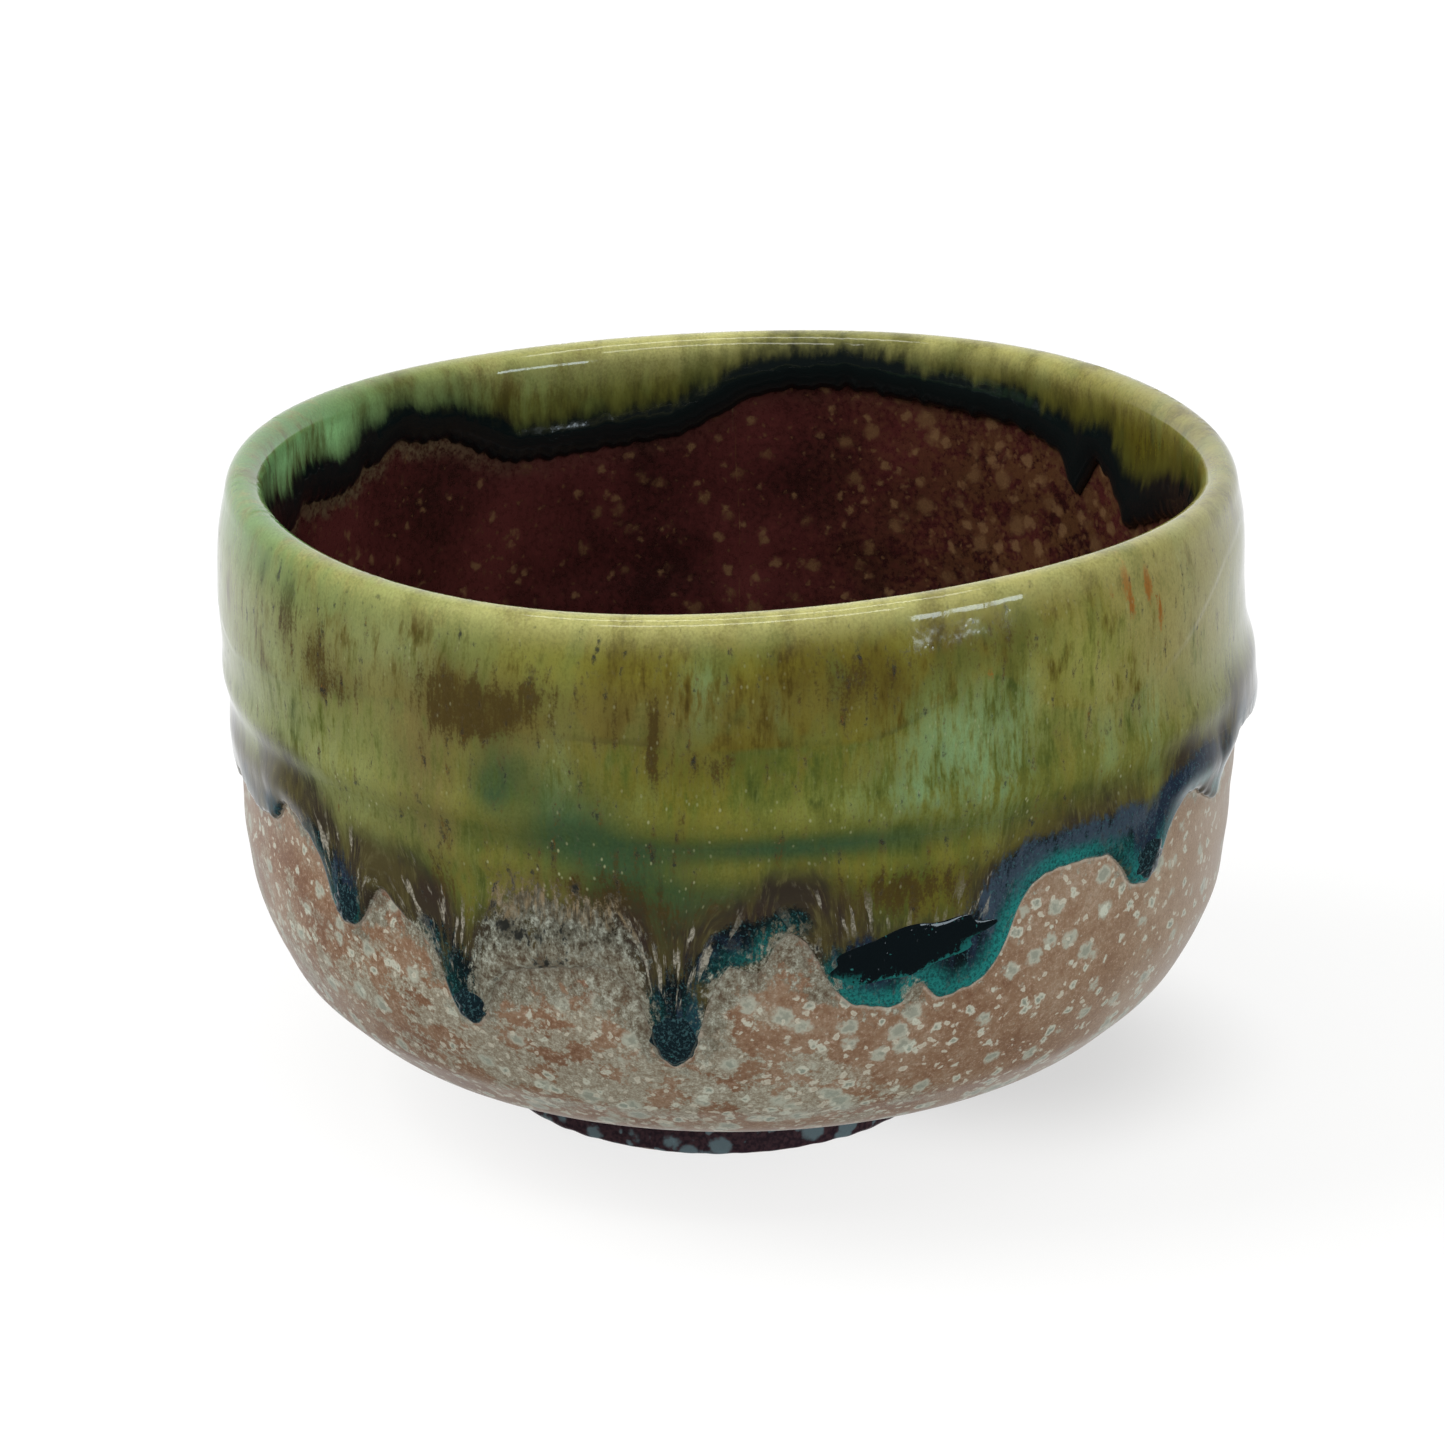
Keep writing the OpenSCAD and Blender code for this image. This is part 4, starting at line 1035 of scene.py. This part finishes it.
def speckled_glaze(name):
    """Brown base glaze with pale ringed spots and clouds."""
    g = Graph(name, 0.38, specular=0.35)
    mottle = g.noise(0.6, 1, 4, 0.65, seed=20)
    patch = g.noise(2.6, 0.8, 4, 0.6, seed=23)
    cloud = g.noise(10, 1, 3, 0.5, seed=21)
    fine = g.noise(0.24, 1, 2, 0.6, seed=22)
    edge, height, foam, angle = g.field("edge"), g.field("height"), g.field("foam"), g.field("angle")
    clouds = g.field("clouds")
    colour = g.ramp(cloud * 0.4 + mottle * 0.35 + patch * 0.25, (0.38, (0.130, 0.062, 0.031)),
                    (0.48, (0.172, 0.098, 0.054)), (0.56, (0.210, 0.140, 0.088)), (0.66, (0.26, 0.20, 0.145)))
    # Paler towards the right
    right = g.step(angle, 0.12, 0.42) * g.step(angle, 0.75, 0.55)
    colour = g.mix(right * 0.45, colour, (0.32, 0.245, 0.165))
    colour = g.mix(g.step(fine + (mottle - 0.5) * 0.5, 0.54, 0.74) * 0.6, colour, (0.33, 0.235, 0.175))
    colour = g.mix(g.step(fine, 0.44, 0.28) * 0.45, colour, (0.085, 0.045, 0.028))
    # Pale clouds with brown islands between them
    drift = g.noise(4.4, 0.75, 3, 0.55, seed=25)
    shape = drift * 0.75 + patch * 0.25 + (mottle - 0.5) * 0.40 + (clouds - 0.5) * 0.10
    pale = g.step(shape, 0.49, 0.56) * g.step(clouds, 0.1, 0.55)
    tone = g.ramp(fine * 0.4 + mottle * 0.6, (0.36, (0.14, 0.112, 0.070)), (0.50, (0.215, 0.203, 0.150)),
                  (0.62, (0.33, 0.34, 0.27)))
    colour = g.mix(pale * 0.75, colour, tone)
    crowd = (cloud - 0.5) * 0.30 + g.step(height, 27, 15) * 0.04 - clouds * 0.02 - right * 0.035
    for size, limit, seed, rim, middle, soft in (
            (4.2, 0.26, 1, (0.31, 0.325, 0.26), (0.20, 0.225, 0.18), 0.14),
            (2.9, 0.225, 2, (0.40, 0.41, 0.33), (0.17, 0.20, 0.16), 0.09),
            (1.6, 0.21, 3, (0.40, 0.38, 0.30), (0.33, 0.30, 0.23), 0.10)):
        spot = g.cells(size, 1, seed=seed, warp=1.1, warp_size=1.5) - crowd + (mottle - 0.5) * 0.34
        ring = g.mix(g.step(spot, limit - 0.05, limit - 0.17), rim, middle)
        colour = g.mix(g.step(spot, limit + soft / 2, limit - soft / 2) * 0.8, colour, ring)
    froth_noise = g.noise(0.8, 1.4, 6, 0.75, seed=11)
    froth = foam + (froth_noise - 0.5) * 2.6 + (patch - 0.5) * 2.6 + (edge + 1.2) * 0.13
    froth = g.step(froth, 0.20, 0.70) * g.step(edge, -8.0, -4.0)
    colour = g.mix(froth * 0.92, colour, dry_froth_colour(g, froth_noise, fine))
    # A thin beige rim along the green glaze, lost where it foams
    halo = g.step(edge + (mottle - 0.5) * 0.45, -0.50, -0.12) * (g.step(patch, 0.38, 0.56) * 0.5 + 0.35)
    colour = g.mix(halo * (1 - froth * 0.85), colour, HALO)
    # Paler where it thins over the foot
    colour = g.mix(g.step(height, 8.0, 6.9) * 0.8, colour, (0.33, 0.25, 0.20))
    rough = 0.36 + (mottle - 0.5) * 0.14
    bumps = mottle * 0.5 + fine * 0.3 + g.noise(3, 1, 2, 0.5, seed=24) * 0.9
    return g.finish(colour, rough, bumps, 0.06)


def inner_glaze(name):
    """Dark maroon glaze inside with tan specks."""
    g = Graph(name, 0.30, specular=0.35)
    mottle = g.noise(0.8, 1, 4, 0.65, seed=30)
    patch = g.noise(2.4, 1, 3, 0.6, seed=33)
    cloud = g.noise(15, 1, 3, 0.5, seed=31)
    fine = g.noise(0.3, 1, 2, 0.6, seed=32)
    edge, angle = g.field("edge"), g.field("angle")
    colour = g.ramp(cloud * 0.6 + mottle * 0.4, (0.38, (0.016, 0.0045, 0.004)),
                    (0.50, (0.038, 0.0085, 0.0078)), (0.62, (0.058, 0.013, 0.012)))
    # Browner and busier on the right
    turned = angle + (patch - 0.5) * 0.3
    right = g.step(turned, 0.42, 0.62) * g.step(turned, 0.99, 0.76)
    browner = right * g.step(patch + (mottle - 0.5) * 0.7, 0.40, 0.62) * 0.8
    colour = g.mix(browner, colour, (0.062, 0.028, 0.011))
    crowd = (cloud - 0.5) * 0.30 + right * 0.12
    for size, limit, seed, tone in ((5.0, 0.20, 5, (0.095, 0.050, 0.022)),
                                    (3.0, 0.20, 6, (0.120, 0.066, 0.030)),
                                    (1.5, 0.15, 7, (0.085, 0.042, 0.019))):
        spot = g.cells(size, 1, seed=seed, warp=1.2, warp_size=1.6) - crowd + (mottle - 0.5) * 0.42
        colour = g.mix(g.step(spot, limit + 0.06, limit - 0.14) * 0.75, colour, tone)
    # A dusty fringe under the black line, mostly on the left
    fringe = g.step(edge + (mottle - 0.5) * 3.0 + (patch - 0.5) * 4, -2.8, -0.5)
    pale = g.ramp(fine * 0.5 + mottle * 0.5, (0.42, (0.035, 0.017, 0.009)), (0.60, (0.11, 0.085, 0.045)))
    near_left = g.step(angle, -0.25, -0.50) * g.step(angle, -0.88, -0.70)
    colour = g.mix(fringe * (near_left * 0.8 + 0.08), colour, pale)
    bumps = mottle * 0.5 + fine * 0.3
    return g.finish(colour, 0.28 + (mottle - 0.5) * 0.1, bumps, 0.05)


def pooled_glaze(name):
    """Thick dark glass, black in the widest pool and full of teal specks in the small ones."""
    g = Graph(name, 0.05, specular=0.4)
    grain = g.noise(0.3, 1, 3, 0.65, seed=40)
    cloud = g.noise(2.2, 1, 2, 0.5, seed=41)
    specks = g.noise(0.32, 1.2, 3, 0.7, seed=8)
    streak = g.noise(1.3, 4, 4, 0.6, seed=2)
    depth, black = g.field("depth"), g.field("black")
    rim = g.step(depth + (grain - 0.5) * 1.4 + (streak - 0.5) * 2.0, 0.50, 0.12)
    rim = rim * g.step(g.field("low") + (streak - 0.5) * 1.5, 0.0, 0.6)
    small = g.mix(g.step(specks, 0.50, 0.64) * 0.75, (0.004, 0.010, 0.013), (0.034, 0.080, 0.086))
    large = g.mix(rim, INK, (0.008, 0.085, 0.078))
    colour = g.mix(black, small, large)
    crystals = g.step(g.cells(0.8, 1, seed=8, warp=0.6, warp_size=0.5), 0.22, 0.08)
    crystals = crystals * g.step(cloud, 0.50, 0.62)
    colour = g.mix(crystals * 0.8, colour, (0.02, 0.13, 0.12))
    bubbles = g.step(g.cells(1.0, 1, seed=9), 0.28, 0.12) * g.step(cloud, 0.48, 0.60)
    bumps = g.noise(2.0, 1, 1, 0.5, seed=42) * 1.5 + bubbles * 1.2
    return g.finish(colour, 0.05 + crystals * 0.1, bumps, 0.06)


def bare_clay(name, roughness, seeds, cloud_size, grog_size, dark, light, grog_colour):
    """Fired clay without glaze, cloudy between two colours and full of darker grog."""
    g = Graph(name, roughness, specular=0.25)
    grain_seed, cloud_seed, grog_seed = seeds
    grain = g.noise(0.4, 1, 4, 0.65, seed=grain_seed)
    cloud = g.noise(cloud_size, 1, 3, 0.5, seed=cloud_seed)
    colour = g.mix(g.step(cloud + (grain - 0.5) * 0.5, 0.38, 0.64), dark, light)
    grog = g.step(g.cells(grog_size, 1, seed=grog_seed, warp=0.6, warp_size=0.5), 0.22, 0.10)
    colour = g.mix(grog * 0.8, colour, grog_colour)
    return g.finish(colour, roughness + (grain - 0.5) * 0.2, grain + grog * 0.8, 0.09)


def foot_wash(name):
    """Dark plum wash with soft blue-grey spots."""
    g = Graph(name, 0.35, specular=0.35)
    mottle = g.noise(0.5, 1, 3, 0.6, seed=70)
    cloud = g.noise(4, 1, 2, 0.5, seed=71)
    colour = g.mix(g.step(mottle, 0.38, 0.64), (0.018, 0.008, 0.013), (0.045, 0.019, 0.024))
    for size, limit, seed in ((4.0, 0.40, 13), (2.0, 0.30, 14)):
        spot = g.cells(size, 1, seed=seed, warp=1.0, warp_size=1.0)
        spot = spot - (cloud - 0.5) * 0.4 + (mottle - 0.5) * 0.15
        colour = g.mix(g.step(spot, limit, limit - 0.14) * 0.85, colour, (0.10, 0.15, 0.165))
    return g.finish(colour, 0.33 + (mottle - 0.5) * 0.15, mottle, 0.06)


# ---------------------------------------------------------------- camera, floor and light
CAMERA_PLACE = (0.0, -0.467, 0.2177)
CAMERA_TARGET = (-0.00103, 0.0, 0.0444)
CAMERA_LENS = 103.1
FLOOR_HALF = 6.0
# The paper's own light, by metres from SHADE_PLACE: (near, far, low, high), one band for the shade beside
# the foot, away from the key lamp, and one for the far floor, which the lamps reach less
SHADE_PLACE = (0.036, 0.004, 0)
PAPER_LIGHT = [(0.008, 0.037, 0.60, 0.79), (0.22, 1.0, 0.0, 0.24)]
# Lamps aimed at the bowl: name, place, size, watts, and whether the glaze mirrors them
BOWL_MIDDLE = (0, 0, 0.04)
LAMPS = [("key", (-0.95, -0.10, 0.95), (0.8, 0.8), 19.5, False),
         ("top", (0.1, 0.15, 1.3), (1.2, 1.2), 5, False),
         ("front", (0.60, -1.1, 0.9), (1.4, 0.8), 9, False),
         # Two long lamps draw the double line along the lip
         ("strip_front", (0.0, -0.62, 1.10), (1.1, 0.13), 2.6, True),
         ("strip_back", (0.0, 0.12, 1.25), (1.1, 0.13), 2.6, True)]
# A window of three panes, low on the right, is mirrored under the lip
PANE_TURNS = (41, 50, 59)
PANE_DISTANCE, PANE_HEIGHT, PANE_SIZE, PANE_WATTS = 1.25, 0.25, (0.17, 0.22), 0.95
PANE_COLOUR = (0.76, 0.90, 1.0)


def aim(thing, target):
    thing.rotation_euler = (Vector(target) - thing.location).to_track_quat("-Z", "Y").to_euler()


def add_camera():
    data = bpy.data.cameras.new("camera")
    data.lens = CAMERA_LENS
    data.sensor_width = 36
    data.clip_start, data.clip_end = 0.01, 50
    camera = bpy.data.objects.new("camera", data)
    bpy.context.collection.objects.link(camera)
    camera.location = CAMERA_PLACE
    aim(camera, CAMERA_TARGET)
    bpy.context.scene.camera = camera


def add_floor():
    corners = [(x * FLOOR_HALF, y * FLOOR_HALF, 0) for x, y in ((-1, -1), (1, -1), (1, 1), (-1, 1))]
    mesh = bpy.data.meshes.new("floor")
    mesh.from_pydata(corners, [], [(0, 1, 2, 3)])
    floor = bpy.data.objects.new("floor", mesh)
    bpy.context.collection.objects.link(floor)
    material = bpy.data.materials.new("floor_paper")
    material.use_nodes = True
    shader = material.node_tree.nodes["Principled BSDF"]
    shader.inputs["Base Color"].default_value = (0.155, 0.155, 0.150, 1)
    shader.inputs["Roughness"].default_value = 1.0
    shader.inputs["Specular IOR Level"].default_value = 0.0
    # White paper lit from all round: part of its light doesn't depend on the lamps, so shadows stay soft
    shader.inputs["Emission Color"].default_value = (1, 1, 1, 1)
    new, link = material.node_tree.nodes.new, material.node_tree.links.new
    here, distance = new("ShaderNodeTexCoord"), new("ShaderNodeVectorMath")
    total = new("ShaderNodeMath")
    distance.operation = "DISTANCE"
    distance.inputs[1].default_value = SHADE_PLACE
    link(here.outputs["Object"], distance.inputs[0])
    for index, (near, far, low, high) in enumerate(PAPER_LIGHT):
        glow = new("ShaderNodeMapRange")
        glow.interpolation_type = "SMOOTHSTEP"
        for name, value in (("From Min", near), ("From Max", far), ("To Min", low), ("To Max", high)):
            glow.inputs[name].default_value = value
        link(distance.outputs["Value"], glow.inputs["Value"])
        link(glow.outputs["Result"], total.inputs[index])
    link(total.outputs["Value"], shader.inputs["Emission Strength"])
    mesh.materials.append(material)
    # The room's own light, not the paper, is what the glaze mirrors
    floor.visible_glossy = False


def area_light(name, place_at, size, watts, colour=(1, 1, 1), glossy=True):
    data = bpy.data.lights.new(name, "AREA")
    data.shape = "RECTANGLE"
    data.size, data.size_y = size
    data.energy = watts
    data.color = colour
    light = bpy.data.objects.new(name, data)
    bpy.context.collection.objects.link(light)
    light.location = place_at
    light.visible_glossy = glossy
    light.visible_camera = False
    aim(light, BOWL_MIDDLE)


def add_light():
    """A pale room that is darker in front of the bowl, where the camera stands, and soft lamps."""
    world = bpy.data.worlds.new("room")
    bpy.context.scene.world = world
    world.use_nodes = True
    tree = world.node_tree
    new, link = tree.nodes.new, tree.links.new
    backgrounds = []
    for strength in (0.50, 1.0, 1.0):
        node = new("ShaderNodeBackground")
        node.inputs["Color"].default_value = (0.98, 0.99, 1.0, 1)
        node.inputs["Strength"].default_value = strength
        backgrounds.append(node)
    soft, seen, mirrored = backgrounds
    way, split, ramp = new("ShaderNodeTexCoord"), new("ShaderNodeSeparateXYZ"), new("ShaderNodeMapRange")
    ramp.interpolation_type = "SMOOTHSTEP"
    for name, value in (("From Min", 0.25), ("From Max", 0.85), ("To Min", 0.05), ("To Max", 1.0)):
        ramp.inputs[name].default_value = value
    link(way.outputs["Generated"], split.inputs[0])
    link(split.outputs["Y"], ramp.inputs["Value"])
    link(ramp.outputs["Result"], mirrored.inputs["Strength"])
    path = new("ShaderNodeLightPath")
    by_gloss, by_camera = new("ShaderNodeMixShader"), new("ShaderNodeMixShader")
    link(path.outputs["Is Glossy Ray"], by_gloss.inputs[0])
    link(soft.outputs[0], by_gloss.inputs[1])
    link(mirrored.outputs[0], by_gloss.inputs[2])
    link(path.outputs["Is Camera Ray"], by_camera.inputs[0])
    link(by_gloss.outputs[0], by_camera.inputs[1])
    link(seen.outputs[0], by_camera.inputs[2])
    link(by_camera.outputs[0], tree.nodes["World Output"].inputs["Surface"])
    for name, place_at, size, watts, glossy in LAMPS:
        area_light(name, place_at, size, watts, glossy=glossy)
    for turn in PANE_TURNS:
        x, y = math.sin(math.radians(turn)), -math.cos(math.radians(turn))
        area_light("window_%d" % turn, (PANE_DISTANCE * x, PANE_DISTANCE * y, PANE_HEIGHT), PANE_SIZE,
                   PANE_WATTS, PANE_COLOUR)


# ---------------------------------------------------------------- the scene
add_camera()
add_floor()
add_light()
build_clay(bare_clay("bare_stoneware", 0.74, (50, 51, 10), 7, 1.3, (0.36, 0.25, 0.17), (0.47, 0.35, 0.25),
                     (0.20, 0.11, 0.065)))
build_foot_ring(bare_clay("turned_foot_clay", 0.7, (60, 61, 12), 5, 1.2, (0.18, 0.105, 0.07),
                          (0.28, 0.185, 0.13), (0.09, 0.05, 0.035)))
build_foot_wash(foot_wash("plum_foot_wash"))
build_outer_base(speckled_glaze("speckled_brown"))
build_inner_base(inner_glaze("dark_inside"))
build_green_band(green_glaze("green_band"))
build_runs(green_glaze("green_runs"))
build_inner_pool(green_glaze("inside_pool"))
build_pools(pooled_glaze("pooled_black"))
bpy.context.scene.view_settings.view_transform = "Standard"

bpy.context.view_layer.update()
